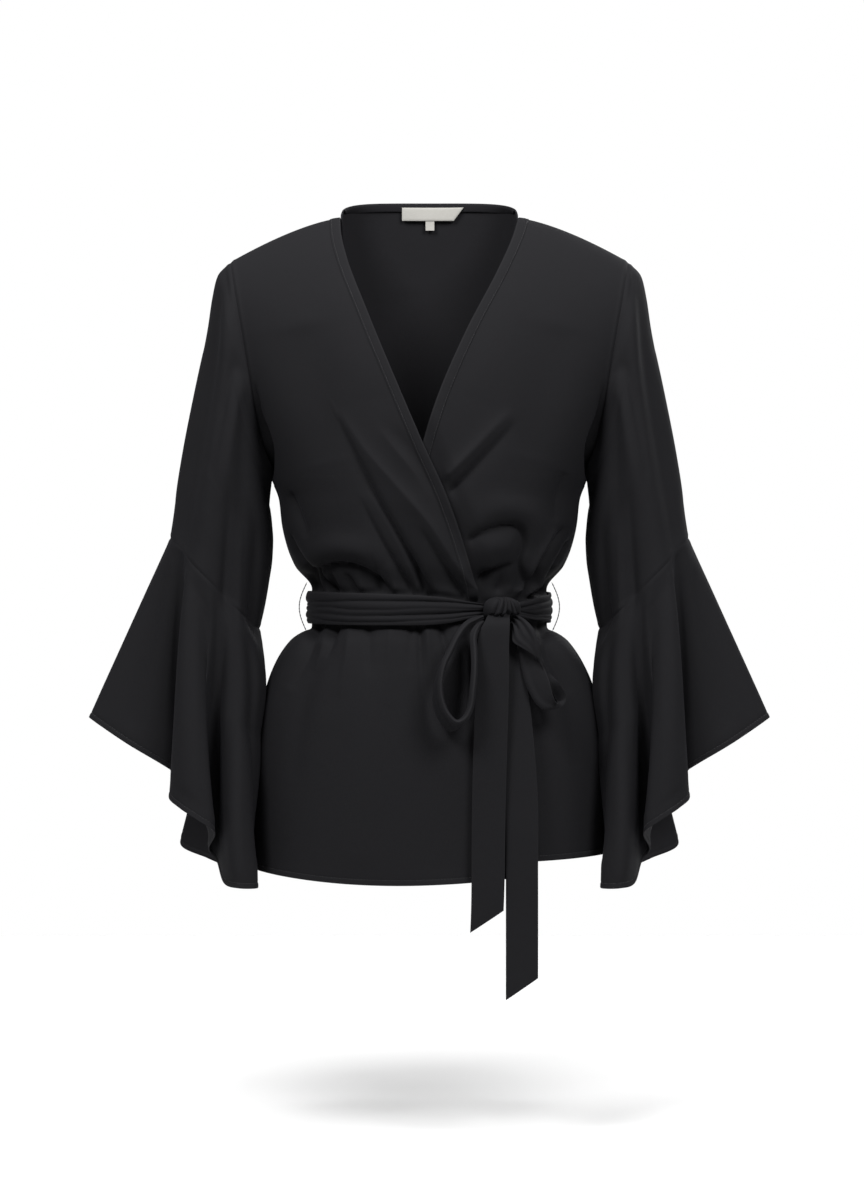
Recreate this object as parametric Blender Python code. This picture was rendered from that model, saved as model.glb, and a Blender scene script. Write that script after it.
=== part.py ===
"""Wrap-front kimono jacket with bell flounces on its sleeves and a tied belt, worn by nobody.

Every piece of cloth is a thin wall with the shape that it has on a general figure. The frame is
+Z up, the front faces -Y and +X is to the right as the jacket is looked at. The origin is midway
between the two neck points, at the height where the shoulders carry the jacket. The tables and
sizes are in millimetres and the objects are in metres.
"""

import math

import bpy
import numpy as np

MM = 0.001

# ---------------------------------------------------------------- driving sizes, in mm
CLOTH = 1.2  # wall of a single layer of crepe
BELT_CLOTH = 2.0  # the belt is a turned tube of the same crepe, pressed flat
BELT_CLEAR = 1.8  # room under the belt for the turned edges
SEAM_GAP = 0.3
LAP = 4.5  # how far the under front lies inside the upper front where they overlap
ROUNDNESS = 2.25  # exponent of the body's sections, where 2 is an ellipse

NECK_HALF = 84.5
NECK_BACK_DEPTH = 56
NECK_BACK_RISE = 21  # how far the back neckline stands above the neck points
NECK_SQUARE = 3.6  # exponent of the back neckline as seen from the front
SHOULDER_HALF = 188.6
SHOULDER_DROP = 41.8
SHOULDER_CURVE = 1.42  # exponent of the shoulder seam's fall, where 1 is straight
ARMPIT_HALF = 150.1
ARMPIT_Z = -248
ARMHOLE_FRONT = 57
ARMHOLE_BACK = 60
HEM_Z = -622
BAND_WIDTH = 10  # turned and stitched edge along the wrap and the neck
BAND_CLOTH = 0.8

FRONT, BACK = -1, 1
LEFT, RIGHT = -1, 1  # as the jacket is looked at, so LEFT is the wearer's right
SIDE_PLANE = np.array([0, 1.0, 0])  # normal of the plane of the shoulder and side seams

# ---------------------------------------------------------------- tables, in mm
# The body tube below the armpits: z, half width, front depth, back depth.
TORSO = {
    "armpit": (-248, 150.1, 118, 96),
    "rib": (-268, 142.5, 118, 93),
    "under_bust": (-290, 140, 116, 89),
    "midriff": (-310, 135.5, 113, 85),
    "blouse_fold": (-330, 127.5, 108, 82),
    "belt_top": (-352, 111.5, 101, 77),
    "belt_bottom": (-388, 111.5, 101, 78),
    "gather": (-402, 131, 105, 84),
    "high_hip": (-421, 144, 109, 91),
    "hip": (-445, 153.5, 113, 97),
    "full_hip": (-480, 162, 117, 103),
    "skirt": (-525, 168, 120, 107),
    "low_skirt": (-575, 171.5, 122, 109),
    "hem": (-622, 173.5, 123, 110),
}
# Free edge of the upper front (LEFT) from the neck point to the hem: z, x.
UPPER_EDGE = {
    "neck_point": (0, -84.5),
    "neck_side": (-17, -83),
    "collarbone": (-41, -77.5),
    "chest": (-100, -55.5),
    "bust": (-170, -26.5),
    "crossing": (-218, -6),
    "midriff": (-271, 17.5),
    "blouse_fold": (-326, 36),
    "belt": (-371, 47),
    "skirt": (-450, 62),
    "hem": (-622, 86),
}
# Free edge of the under front (RIGHT), hidden below the crossing: z, x.
UNDER_EDGE = {
    "neck_point": (0, 84.5),
    "neck_side": (-22, 78),
    "collarbone": (-58, 62.5),
    "chest": (-115, 33.5),
    "bust": (-177, 7),
    "crossing": (-218, -6),
    "midriff": (-271, -20),
    "belt": (-371, -47),
    "hem": (-622, -56),
}
# Hem heights of a panel at the left side, at the centre, and at the right side.
HEM_HEIGHTS = {
    "upper_front": (-612.5, -622.5, -600),
    "under_front": (-612, -605.5, -599.5),
    "back": (-612.5, -611, -599.5),
}
# Sleeve sections from armhole to flounce seam, for the RIGHT sleeve: the outer end of the
# section (x, z), its inner end (x, z), the y of both, and how far it reaches forward and back.
SLEEVE = {
    "armhole": (188.6, -41.8, 150.1, -248, 0, 57, 60),
    "cap": (201, -55, 151.8, -257, 0, 60, 62),
    "cap_low": (206, -76, 152.2, -266, -1, 61, 62.5),
    "upper_arm": (210, -104, 150.8, -277, -3, 61, 62),
    "bicep": (216, -138, 149.2, -291, -5, 61, 61),
    "above_elbow": (223, -176, 148.0, -307, -8, 60, 59),
    "elbow": (230.5, -216, 148.6, -324, -11, 57, 56),
    "below_elbow": (237, -254, 151.4, -345, -15, 54, 53),
    "forearm": (241.4, -283, 155.2, -368, -18, 52, 51),
    "flounce_seam": (244.4, -304, 160, -389.5, -21, 51, 50),
}
# Hem of the RIGHT flounce, round from the outer corner by the front: the angle round the seam,
# then x, y, z. Crests and valleys are the flutes that the circular cut falls into.
FLOUNCE_HEM = {
    "outer_corner": (0, 319.5, -30, -473.5),
    "outer_panel": (20, 284, -49, -496),
    "outer_panel_end": (36, 250, -56, -515.5),
    "valley_1": (46, 233, -46, -528),
    "valley_1_low": (53, 228, -56, -535),
    "crest_1_turn": (60, 240.5, -84, -544),
    "crest_1": (67, 229, -103, -553.5),
    "crest_1_front": (78, 212, -109, -564),
    "crest_1_end": (89, 197, -100, -576.5),
    "valley_2": (98, 205, -63, -594),
    "valley_2_low": (106, 198, -59, -606),
    "crest_2_turn": (115, 189.5, -88, -623.5),
    "crest_2": (126, 175, -108, -626.5),
    "crest_2_end": (142, 158, -95, -627.5),
    "inner_front": (160, 165, -60, -626),
    "inner_side": (182, 177, -26, -622),
    "inner_back": (206, 190, 14, -619),
    "back_low": (221, 213, 35, -611),
    "back_crest": (236, 239.5, 50, -600),
    "back_turn": (248, 234, 60, -581),
    "back_rise": (261, 233, 66, -566),
    "back_crest_2": (276, 240, 69, -548),
    "back_outer": (293, 251, 62, -528),
    "back_panel": (312, 273, 47, -507),
    "outer_back": (331, 294, 31, -492),
    "outer_turn": (348, 310, 0, -480),
}
# Largest soft folds of each panel, as seen from the front: from x, z to x, z, sideways bow, half
# width, and height over the cloth at either end. A negative height is a trough.
FOLDS = {
    "upper_front": {
        "wrap_ridge": (-70, -196, 42, -340, 6, 14, 3.0, 8.0),
        "wrap_trough": (-84, -206, -2, -352, 8, 13, -3.0, -11.0),
        "second_ridge": (-66, -258, -26, -350, 4, 12, 1.0, 5.5),
        "under_ridge": (-6, -300, 34, -346, 2, 10, -1.0, -4.5),
        "blouse_arc": (-108, -330, -42, -347, -8, 12, -6.5, -4.0),
        "side_pull": (-131, -318, -90, -350, -4, 10, -4.0, -6.0),
        "side_crease": (-136, -262, -122, -300, 3, 11, -2.0, -4.5),
        "chest_drape": (-118, -120, -92, -236, 8, 26, 0.5, -3.0),
        "skirt_pleat_1": (-92, -390, -108, -450, 0, 11, -6.5, -0.5),
        "skirt_pleat_2": (-12, -390, -14, -470, 0, 13, -3.5, -0.5),
        "skirt_pleat_3": (-52, -390, -56, -520, 0, 18, 4.0, 1.5),
    },
    "under_front": {
        "wrap_ridge": (74, -192, 8, -258, -5, 12, 1.5, 5.0),
        "wrap_trough": (74, -208, 18, -272, -5, 11, -2.0, -6.5),
        "blouse_arc": (34, -306, 92, -298, 9, 11, -5.0, -3.0),
        "knot_pull_1": (78, -350, 132, -296, -7, 10, -7.0, -2.0),
        "knot_pull_2": (92, -350, 126, -322, -5, 8, 5.0, 2.0),
        "knot_pull_3": (46, -346, 74, -328, 3, 9, -5.0, -2.0),
        "chest_drape": (118, -120, 96, -236, -8, 26, 0.5, -3.0),
        "skirt_pleat_1": (92, -390, 112, -452, 0, 11, -6.5, -0.5),
        "skirt_pleat_2": (74, -390, 88, -500, 0, 16, 4.0, 1.0),
    },
    "back": {
        "gather_1": (-84, -290, -70, -350, 0, 14, -1.0, -7.0),
        "gather_2": (-30, -278, -26, -350, 0, 15, -1.0, -7.5),
        "gather_3": (28, -286, 24, -350, 0, 15, -1.0, -7.0),
        "gather_4": (86, -282, 72, -350, 0, 14, -1.0, -7.5),
        "blade_drape_1": (-96, -120, -74, -230, -6, 26, 0.5, -3.0),
        "blade_drape_2": (98, -116, 74, -226, 6, 26, 0.5, -3.0),
        "skirt_pleat_1": (-62, -390, -78, -480, 0, 14, -7.0, -0.5),
        "skirt_pleat_2": (0, -390, 0, -520, 0, 17, -6.0, -0.5),
        "skirt_pleat_3": (62, -390, 78, -490, 0, 14, -7.0, -0.5),
    },
}
# Soft folds along a sleeve: angle round the section from the outer end by the front, its half
# width in degrees, the first and last height down the sleeve from 0 to 1, and its height.
SLEEVE_FOLDS = {
    "outer_trough": (42, 17, 0.08, 0.97, -5.0),
    "front_ridge": (76, 20, 0.05, 1.0, 3.5),
    "inner_trough": (122, 17, 0.45, 1.0, -4.5),
    "back_trough": (300, 22, 0.2, 0.97, -5.0),
    "back_ridge": (258, 22, 0.2, 1.0, 3.5),
}
# The belt from the left of the knot round the back to its right: the angle round the waist from
# the centre front (positive to the right), and the heights of its two edges.
BELT = {
    "knot_left": (23.9, -366, -377),
    "pinched": (15, -363.5, -380),
    "spreading": (7, -360.5, -384),
    "front": (-4, -358, -387),
    "front_left": (-30, -355.5, -387.5),
    "left": (-90, -353, -386),
    "left_back": (-135, -353, -387),
    "back": (-180, -353.5, -387.5),
    "right_back": (-225, -353, -387),
    "right": (-270, -356, -384),
    "closing": (-292, -358.5, -382),
    "pinched_right": (-308, -362.5, -380),
    "knot_right": (-322.6, -366, -377),
}
KNOT = {
    "x": 66, "y": -98.6, "z": -371.5, "half_width": 16.5, "half_depth": 9.0, "half_height": 12.0,
}
KNOT_TURN = math.radians(27)  # the knot faces the way the waist faces there
FLOUNCE_TUCK = 8.5  # how far a flounce bows in towards the hip, below its seam
# Ribbons: a row for each station, with the front edge (x, y, z) and the back edge (x, y, z).
LEFT_LOOP = {
    "root": (52.6, -109, -371, 50.4, -101.5, -377),
    "out": (36, -121, -381, 31, -108.5, -380),
    "side": (20, -135, -411, 12, -114, -409),
    "low_side": (12, -143, -444, 2, -119, -448),
    "bottom_left": (16, -146, -468, 6.5, -123, -474),
    "bottom": (27.5, -146, -477, 20.5, -125, -485),
    "bottom_right": (38, -144, -467, 32.5, -125, -472),
    "inner_side": (42.5, -140, -436, 35.5, -121, -437),
    "inner_top": (41.5, -130, -402, 35, -115, -400),
    "return": (47, -116, -384, 44.5, -106.5, -385),
}
RIGHT_LOOP = {
    "root": (81.7, -97.2, -371, 79, -97.6, -380),
    "out": (93, -106, -379, 82, -107, -401),
    "face": (102, -116, -396, 90, -111, -411),
    "narrow": (107, -122, -419, 102, -109, -421),
    "low": (113, -123, -445, 108, -105, -442),
    "bottom": (122, -119, -457, 117, -99, -459),
    "turn": (129, -113, -449, 123, -96, -452),
    "back_side": (121, -107, -428, 115, -95.5, -438),
    "back_top": (108, -102, -406, 102, -94, -417),
    "return": (91, -96, -386, 90, -91, -390),
}
# Tails: z, centre x, y, width.
LEFT_TAIL = {
    "top": (-364, 65, -110.1, 13),
    "over_knot": (-370, 64, -113.5, 20),
    "below_knot": (-386, 61, -115.5, 27),
    "high": (-404, 59.5, -118, 29.5),
    "hip": (-450, 59, -121.5, 30.5),
    "mid": (-540, 55.5, -125, 30.5),
    "hem": (-622, 53.5, -128, 30.5),
    "end": (-655, 52.5, -128, 30.5),
}
RIGHT_TAIL = {
    "top": (-383.6, 66, -102, 20),
    "high": (-404, 67.5, -104.5, 26),
    "hip": (-450, 76, -112, 30),
    "mid": (-540, 84, -119.5, 29.5),
    "hem": (-622, 84.5, -123.5, 29.5),
    "end": (-717, 84.5, -123.5, 29.5),
}
TAIL_CUT = 10  # half the height of the slanted end of a tail
LABEL = {
    "z_top": 16.5, "height": 12.4, "left": -26.5, "right": 33, "right_low": 23.5,
    "cloth": 0.6, "clear": 2.9,
}
SIZE_TAB = {"width": 8.5, "height": 9, "x": 0.5}
THREAD_LOOP = {"top_z": -347, "bottom_z": -391, "reach": 6.5, "diameter": 1.1, "clear": 1.7}

# ---------------------------------------------------------------- sampling
UPPER_ROWS = 12
FRONT_COLUMNS = 20
SHOULDER_COLUMNS = 6
NECK_COLUMNS = 9
SLEEVE_COLUMNS = 2 * UPPER_ROWS
SLEEVE_ROWS = 11
FLOUNCE_COLUMNS = 66
FLOUNCE_ROWS = 6
BELT_COLUMNS = 44
RIBBON_STEPS = 3
TALLEST_ROW = 50  # mm between rows of the body below the armpits


# ---------------------------------------------------------------- curves
def smooth_curve(knots, values, at):
    """Values on a curve through the knots that never swings past them (monotone cubic)."""
    knots, values = np.asarray(knots, float), np.asarray(values, float)
    if knots[0] > knots[-1]:
        knots, values = knots[::-1], values[::-1]
    steps = np.diff(knots)
    slopes = np.diff(values) / steps
    tangents = np.concatenate([slopes[:1], slopes[1:], slopes[-1:]])
    before, after = slopes[:-1], slopes[1:]
    same_way = before * after > 0
    tangents[1:-1] = np.where(same_way, 2 * before * after / np.where(same_way, before + after, 1), 0)
    at = np.clip(at, knots[0], knots[-1])
    i = np.clip(np.searchsorted(knots, at) - 1, 0, len(steps) - 1)
    t = (at - knots[i]) / steps[i]
    rise = t * t * (3 - 2 * t)
    start = t * (1 - t) ** 2 * steps[i] * tangents[i]
    end = t * t * (t - 1) * steps[i] * tangents[i + 1]
    return values[i] * (1 - rise) + values[i + 1] * rise + start + end


def column(table, index, at, key=0):
    """A column of a table, read at values of its key column."""
    rows = list(table.values())
    return smooth_curve([row[key] for row in rows], [row[index] for row in rows], at)


def stations(rows, steps):
    """Rows of a table with more rows between them, on a rounded curve through all of them."""
    rows = np.array(rows, float)
    found = []
    for i in range(len(rows) - 1):
        a, b, c, d = (rows[min(max(i + k, 0), len(rows) - 1)] for k in (-1, 0, 1, 2))
        for t in np.arange(steps) / steps:
            found.append(
                0.5 * (2 * b + (c - a) * t + (2 * a - 5 * b + 4 * c - d) * t**2
                       + (3 * b - a - 3 * c + d) * t**3)
            )
    return np.array([*found, rows[-1]])


def ease(t):
    """0 below 0, 1 above 1 and smooth between."""
    t = np.clip(t, 0, 1)
    return t * t * (3 - 2 * t)


# ---------------------------------------------------------------- the body tube
def neck_back_depth(x):
    """How far back the back neckline lies at x."""
    inside = np.clip(1 - (np.abs(x) / NECK_HALF) ** 2.6, 0, 1)
    return NECK_BACK_DEPTH * inside ** (1 / 2.6)


def top_height(face, x):
    """Height of the shoulder seam, and of the neckline between the neck points."""
    along = np.clip((np.abs(x) - NECK_HALF) / (SHOULDER_HALF - NECK_HALF), 0, 1)
    seam = -SHOULDER_DROP * along**SHOULDER_CURVE
    if face == FRONT:
        return seam
    inside = np.clip(1 - (np.abs(x) / NECK_HALF) ** NECK_SQUARE, 0, 1)
    return seam + NECK_BACK_RISE * inside ** (1 / NECK_SQUARE)


def edge_share(face, h):
    """How deep the armhole's edge lies, as a share of the body's depth there."""
    depth = TORSO["armpit"][2 if face == FRONT else 3]
    armhole = ARMHOLE_FRONT if face == FRONT else ARMHOLE_BACK
    return 2 * armhole / depth * np.sqrt((1 - np.minimum(h, 1)) / (2 - np.minimum(h, 1)))


def turned_to(face, t, h):
    """s for a share t of the turn from the centre to the side, so that columns crowd where the
    body bends most."""
    full_turn = np.arccos(np.clip(edge_share(face, h) ** (ROUNDNESS / 2), 0, 1))
    return np.sin(t * full_turn) / np.sin(full_turn)


def upper_body(face, s, h):
    """Points above the armpits: s runs from -1 to 1 between the armholes, h from 0 at the
    shoulder seam to 1 at the armpits."""
    depth = TORSO["armpit"][2 if face == FRONT else 3]
    top_x = s * SHOULDER_HALF
    x = s * (SHOULDER_HALF + (ARMPIT_HALF - SHOULDER_HALF) * h)
    top_z = top_height(face, top_x)
    z = top_z + (ARMPIT_Z - top_z) * h
    swell = np.sqrt(np.clip(h * (2 - h), 0, 1))
    if face == FRONT:
        seam_y, power = np.zeros_like(x), 1.3 - 0.3 * s**2
    else:
        seam_y = neck_back_depth(top_x)
        power = 1 + 1.2 * seam_y / NECK_BACK_DEPTH
    reach = seam_y + (depth - seam_y) * swell**power
    fall = 1 - (1 - edge_share(face, h) ** ROUNDNESS) * np.abs(s) ** ROUNDNESS
    y = face * reach * np.clip(fall, 0, 1) ** (1 / ROUNDNESS)
    return np.stack([x, y, z], -1)


def lower_body(face, s, h, panel):
    """Points below the armpits: h runs from 1 at the armpits to 2 at the hem."""
    level = ARMPIT_Z + (h - 1) * (HEM_Z - ARMPIT_Z)
    x = s * column(TORSO, 1, level)
    round_side = np.clip(1 - np.abs(s) ** ROUNDNESS, 0, 1) ** (1 / ROUNDNESS)
    y = face * column(TORSO, 2 if face == FRONT else 3, level) * round_side
    left, centre, right = HEM_HEIGHTS[panel]
    hem = centre + (right - left) / 2 * s + ((left + right) / 2 - centre) * s**2
    z = level + (hem - HEM_Z) * ease((h - 1.45) / 0.55)
    return np.stack([x, y, z], -1)


def body(face, s, h, panel):
    """Points of the body tube's outer surface, for arrays s and h of one shape."""
    upper = upper_body(face, s, np.minimum(h, 1))
    return np.where((h <= 1)[..., None], upper, lower_body(face, s, np.maximum(h, 1), panel))


def body_rows():
    """Heights of the rows from shoulder to hem. Above the armpits they divide the armhole evenly."""
    upper = (1 - np.cos(np.pi * np.arange(UPPER_ROWS + 1) / UPPER_ROWS)) / 2
    levels = [row[0] for row in TORSO.values()]
    lower = []
    for high, low in zip(levels, levels[1:]):
        parts = math.ceil((high - low) / TALLEST_ROW)
        lower += [high + (low - high) * (k + 1) / parts for k in range(parts)]
    return np.concatenate([upper, 1 + (np.array(lower) - ARMPIT_Z) / (HEM_Z - ARMPIT_Z)])


# ---------------------------------------------------------------- walls
def triangles_of(points, closed):
    """Two triangles for each cell of a grid, divided along its shorter diagonal."""
    rows, columns = points.shape[:2]
    found = []
    for r in range(rows - 1):
        for c in range(columns if closed else columns - 1):
            d = (c + 1) % columns
            a, b, e, f = (r, c), (r, d), (r + 1, d), (r + 1, c)
            if np.linalg.norm(points[a] - points[e]) <= np.linalg.norm(points[b] - points[f]):
                found += [(a, e, b), (a, f, e)]
            else:
                found += [(a, f, b), (b, f, e)]
    return np.array([[r * columns + c for r, c in corner] for corner in found])


def normals_of(points, closed):
    """The outward direction at each point of a grid."""
    flat = points.reshape(-1, 3)
    faces = triangles_of(points, closed)
    a, b, c = (flat[faces[:, k]] for k in range(3))
    crosses = np.cross(b - a, c - a)
    total = np.zeros_like(flat)
    for k in range(3):
        np.add.at(total, faces[:, k], crosses)
    return (total / np.linalg.norm(total, axis=1, keepdims=True)).reshape(points.shape)


def inward(normals, planes, thickness):
    """Steps from the outer to the inner surface. planes lists borders, each as its index and the
    normal of the seam plane that it ends on, so that two pieces meet along it without crossing."""
    steps = -normals * thickness
    held = {}
    places = np.arange(steps.shape[0] * steps.shape[1]).reshape(steps.shape[:2])
    for border, plane in planes:
        for place in np.ravel(places[border]):
            held.setdefault(int(place), []).append(plane)
    flat_steps, flat_normals = steps.reshape(-1, 3), normals.reshape(-1, 3)
    for place, seams in held.items():
        outward = flat_normals[place]
        slide = outward - outward.dot(seams[0]) * seams[0]
        if len(seams) > 1:
            slide = np.cross(seams[0], seams[1])
            slide *= np.sign(slide.dot(outward)) or 1
        slide /= max(np.linalg.norm(slide), 1e-9)
        flat_steps[place] = -slide * thickness * min(1 / max(slide.dot(outward), 1e-9), 2.0)
    return flat_steps.reshape(steps.shape)


def wall(outer, closed=False, planes=(), thickness=CLOTH):
    """Points and triangles of a closed wall that lies inside a grid of outer points."""
    faces = triangles_of(outer, closed)
    inner = outer + inward(normals_of(outer, closed), planes, thickness)
    rows, columns = outer.shape[:2]
    size = rows * columns
    grid = np.arange(size).reshape(rows, columns)
    if closed:
        rims = [np.append(grid[0], grid[0, 0]), np.append(grid[-1], grid[-1, 0])[::-1]]
    else:
        rims = [np.concatenate([grid[0], grid[1:, -1], grid[-1, -2::-1], grid[-2::-1, 0]])]
    sides = []
    for rim in rims:
        for a, b in zip(rim, rim[1:]):
            sides += [(a, b, a + size), (b, b + size, a + size)]
    points = np.concatenate([outer.reshape(-1, 3), inner.reshape(-1, 3)])
    return points, np.concatenate([faces, faces[:, ::-1] + size, np.array(sides)])


# ---------------------------------------------------------------- folds
def fold_heights(folds, x, z, widen=1.0):
    """How far the folds lift the cloth at x, z of the front view."""
    total = np.zeros_like(x)
    for x0, z0, x1, z1, bow, half_width, high_start, high_end in folds.values():
        length = math.hypot(x1 - x0, z1 - z0)
        ux, uz = (x1 - x0) / length, (z1 - z0) / length
        along = ((x - x0) * ux + (z - z0) * uz) / length
        across = (x - x0) * -uz + (z - z0) * ux - bow * 4 * np.clip(along * (1 - along), 0, 1)
        beyond = np.maximum(np.maximum(-along, along - 1), 0) * length
        height = high_start + (high_end - high_start) * np.clip(along, 0, 1)
        reach = half_width * widen
        total += height * np.exp(-((across / reach) ** 2) - (beyond / (1.2 * reach)) ** 2)
    return total


def sleeve_fold_heights(angle, down):
    """How far the folds lift a sleeve at an angle round it and a height down it."""
    total = np.zeros_like(angle)
    for centre, half_width, first, last, height in SLEEVE_FOLDS.values():
        off = (angle - centre + 180) % 360 - 180
        fade = ease((down - first) / 0.2) * ease((last - down) / 0.2 + 0.4)
        total += height * np.exp(-((off / half_width) ** 2)) * fade
    return total


def panel_lift(panel, x, z):
    """How far a panel's cloth is lifted off the plain body. Ridges end at the belt's edges, and
    the under front keeps inside the upper front's troughs where it lies beneath it."""
    lift = fold_heights(FOLDS[panel], x, z)
    free = 1 - ease((z + 398) / 10) * ease((-342 - z) / 10)
    if panel == "under_front":
        beyond = x - column(UPPER_EDGE, 1, z)
        shown = ease((beyond - 6) / 22)
        hidden = np.minimum(fold_heights(FOLDS["upper_front"], x, z, 1.4), 0) * 1.2
        return lift * shown * free + hidden * (1 - shown) - LAP * (1 - ease((beyond - 1) / 26))
    return lift * free


# ---------------------------------------------------------------- panels
def armhole_plane(side):
    """Normal of the armhole's plane, pointing into the sleeve."""
    across = np.array([SHOULDER_HALF - ARMPIT_HALF, 0, -SHOULDER_DROP - ARMPIT_Z])
    normal = np.array([across[2], 0, -across[0]]) / np.linalg.norm(across)
    return normal * (side, 1, 1)


def part_seams(points, columns_at):
    """Moves a panel's borders half a seam gap off the planes that it meets its neighbours on.
    columns_at maps a column's index to the side that its armhole and side seam are on."""
    face = np.sign(points[len(points) // 2, points.shape[1] // 2, 1])
    for index, side in columns_at.items():
        rows = UPPER_ROWS + 1
        points[:rows, index] -= armhole_plane(side) * SEAM_GAP / 2
        points[rows - 1:, index, 1] += face * SEAM_GAP / 2
    seam = np.abs(points[0, :, 0]) > NECK_HALF - 1.5
    points[0, seam, 1] += face * SEAM_GAP / 2
    return points


def front_grid(side):
    """Grid of a front's outer surface, from its side seam to its free edge."""
    panel, edge = ("upper_front", UPPER_EDGE) if side == LEFT else ("under_front", UNDER_EDGE)
    rows = body_rows()
    edge_s, half = np.full(len(rows), 0.4 * side), np.full(len(rows), ARMPIT_HALF)
    for _ in range(30):
        at_edge = body(FRONT, edge_s, rows, panel)
        far = np.abs(edge_s) > 1e-3
        half = np.where(far, at_edge[:, 0] / np.where(far, edge_s, 1), half)
        edge_s = 0.5 * edge_s + 0.5 * column(edge, 1, at_edge[:, 2]) / half
    full_turn = np.arccos(np.clip(edge_share(FRONT, rows) ** (ROUNDNESS / 2), 0, 1))
    band_t = np.arcsin((edge_s + side * BAND_WIDTH / half) * np.sin(full_turn)) / full_turn
    t = side + (band_t[:, None] - side) * np.linspace(0, 1, FRONT_COLUMNS - 1)
    s = turned_to(FRONT, t, rows[:, None])
    s = np.concatenate([s, edge_s[:, None]], 1)
    flat = body(FRONT, s, np.repeat(rows[:, None], FRONT_COLUMNS, 1), panel)
    if side == RIGHT:
        flat = flat[:, ::-1]
    lift = panel_lift(panel, flat[..., 0], flat[..., 2])
    lift *= ease((ARMPIT_HALF * 0.95 - np.abs(flat[..., 0])) / 20)
    points = flat + normals_of(flat, False) * lift[..., None]
    return part_seams(points, {0 if side == LEFT else -1: side})


def side_planes(columns_at):
    """Seam planes of a panel's borders: shoulder seams, armholes and side seams."""
    planes = []
    for index, side in columns_at.items():
        planes.append((np.s_[: UPPER_ROWS + 1, index], armhole_plane(side)))
        planes.append((np.s_[UPPER_ROWS:, index], SIDE_PLANE))
    return planes


def front(side):
    """Wall of a front."""
    points = front_grid(side)
    planes = side_planes({0 if side == LEFT else -1: side})
    return wall(points, planes=[*planes, (np.s_[0, :], SIDE_PLANE)])


def edge_band(side):
    """Turned and stitched edge of a front, laid on its points along the free edge."""
    points = front_grid(side)
    normals = normals_of(points, False)
    strip = np.s_[:, -2:] if side == LEFT else np.s_[:, :2]
    outer = points[strip] + normals[strip] * (SEAM_GAP + BAND_CLOTH)
    outer[0, :, 1] -= SEAM_GAP
    return wall(outer, thickness=BAND_CLOTH)


def back_grid():
    """Grid of the back's outer surface, from the right as it is looked at to the left."""
    neck = 0.4
    for _ in range(30):
        neck *= NECK_HALF / SHOULDER_HALF / turned_to(BACK, neck, 0.0)
    shoulder = np.linspace(1, neck, SHOULDER_COLUMNS + 1)[:-1]
    across = neck * np.cos(np.linspace(0, math.pi, NECK_COLUMNS))
    t = np.concatenate([shoulder, across, -shoulder[::-1]])
    rows = body_rows()
    s = turned_to(BACK, t[None], rows[:, None])
    flat = body(BACK, s, np.repeat(rows[:, None], len(t), 1), "back")
    lift = panel_lift("back", flat[..., 0], flat[..., 2])
    points = flat + normals_of(flat, False) * lift[..., None]
    return part_seams(points, {0: RIGHT, -1: LEFT})


def back():
    """Wall of the back."""
    points = back_grid()
    planes = side_planes({0: RIGHT, -1: LEFT})
    on_seam = np.abs(points[0, :, 0]) > NECK_HALF - 1.5
    return wall(points, planes=[*planes, ((0, on_seam), SIDE_PLANE)])


def back_neck_band():
    """Binding of the back neck, on the inside of the back."""
    points = back_grid()
    normals = normals_of(points, False)
    neck = np.nonzero(np.abs(points[0, :, 0]) < NECK_HALF - 1.5)[0]
    top, below = points[0, neck], points[1, neck]
    down = (below - top) / np.linalg.norm(below - top, axis=1, keepdims=True)
    rows = []
    for depth, extra in ((0.4, 0.1), (BAND_WIDTH * 0.75, 0.5)):
        rows.append(top - normals[0, neck] * (CLOTH + SEAM_GAP + extra) + down * depth)
    return wall(np.array(rows), thickness=BAND_CLOTH)


# ---------------------------------------------------------------- sleeves
def sleeve_section(down, angle, side):
    """Points of the sleeve, for arrays of the height down it (0 to 1) and the angle round it."""
    rows = len(SLEEVE) - 1
    keys = np.arange(rows + 1) / rows
    values = np.array(list(SLEEVE.values()), float)
    ox, oz, ix, iz, mid_y, reach_front, reach_back = (
        smooth_curve(keys, values[:, k], down) for k in range(7)
    )
    turn = np.radians(angle)
    share = (1 + np.cos(turn)) / 2
    reach = np.where(np.sin(turn) >= 0, reach_front, reach_back)
    x = ix + (ox - ix) * share
    z = iz + (oz - iz) * share
    return np.stack([side * x, mid_y - reach * np.sin(turn), z], -1)


def seam_plane(side):
    """Normal of the plane of the flounce's seam, pointing into the flounce."""
    ox, oz, ix, iz = SLEEVE["flounce_seam"][:4]
    normal = np.array([oz - iz, 0, ix - ox])
    return normal / np.linalg.norm(normal) * (side, 1, 1)


def round_columns(count, side):
    """Angles round a sleeve or flounce, in the order that makes its faces point outwards."""
    angles = np.arange(count) * 360 / count
    return angles if side == LEFT else angles[::-1]


def sleeve(side):
    """Wall of a sleeve, from the armhole to the flounce's seam."""
    down, angle = np.meshgrid(
        np.linspace(0, 1, SLEEVE_ROWS), round_columns(SLEEVE_COLUMNS, side), indexing="ij"
    )
    flat = sleeve_section(down, angle, side)
    lift = sleeve_fold_heights(angle, down)
    points = flat + normals_of(flat, True) * lift[..., None]
    points[0] = flat[0] + armhole_plane(side) * SEAM_GAP / 2
    points[-1] = flat[-1] - seam_plane(side) * SEAM_GAP / 2
    planes = [(np.s_[0, :], armhole_plane(side)), (np.s_[-1, :], seam_plane(side))]
    return wall(points, closed=True, planes=planes)


def flounce_hem(angle, side):
    """Points of the flounce's hem at angles round the seam."""
    rows = np.array(list(FLOUNCE_HEM.values()), float)
    turn = np.array([360, 0, 0, 0])
    rows = stations([*(rows[-2:] - turn), *rows, *(rows[:2] + turn)], 8)
    x, y, z = (np.interp(angle, rows[:, 0], rows[:, k]) for k in (1, 2, 3))
    return np.stack([side * x, y, z], -1)


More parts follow.
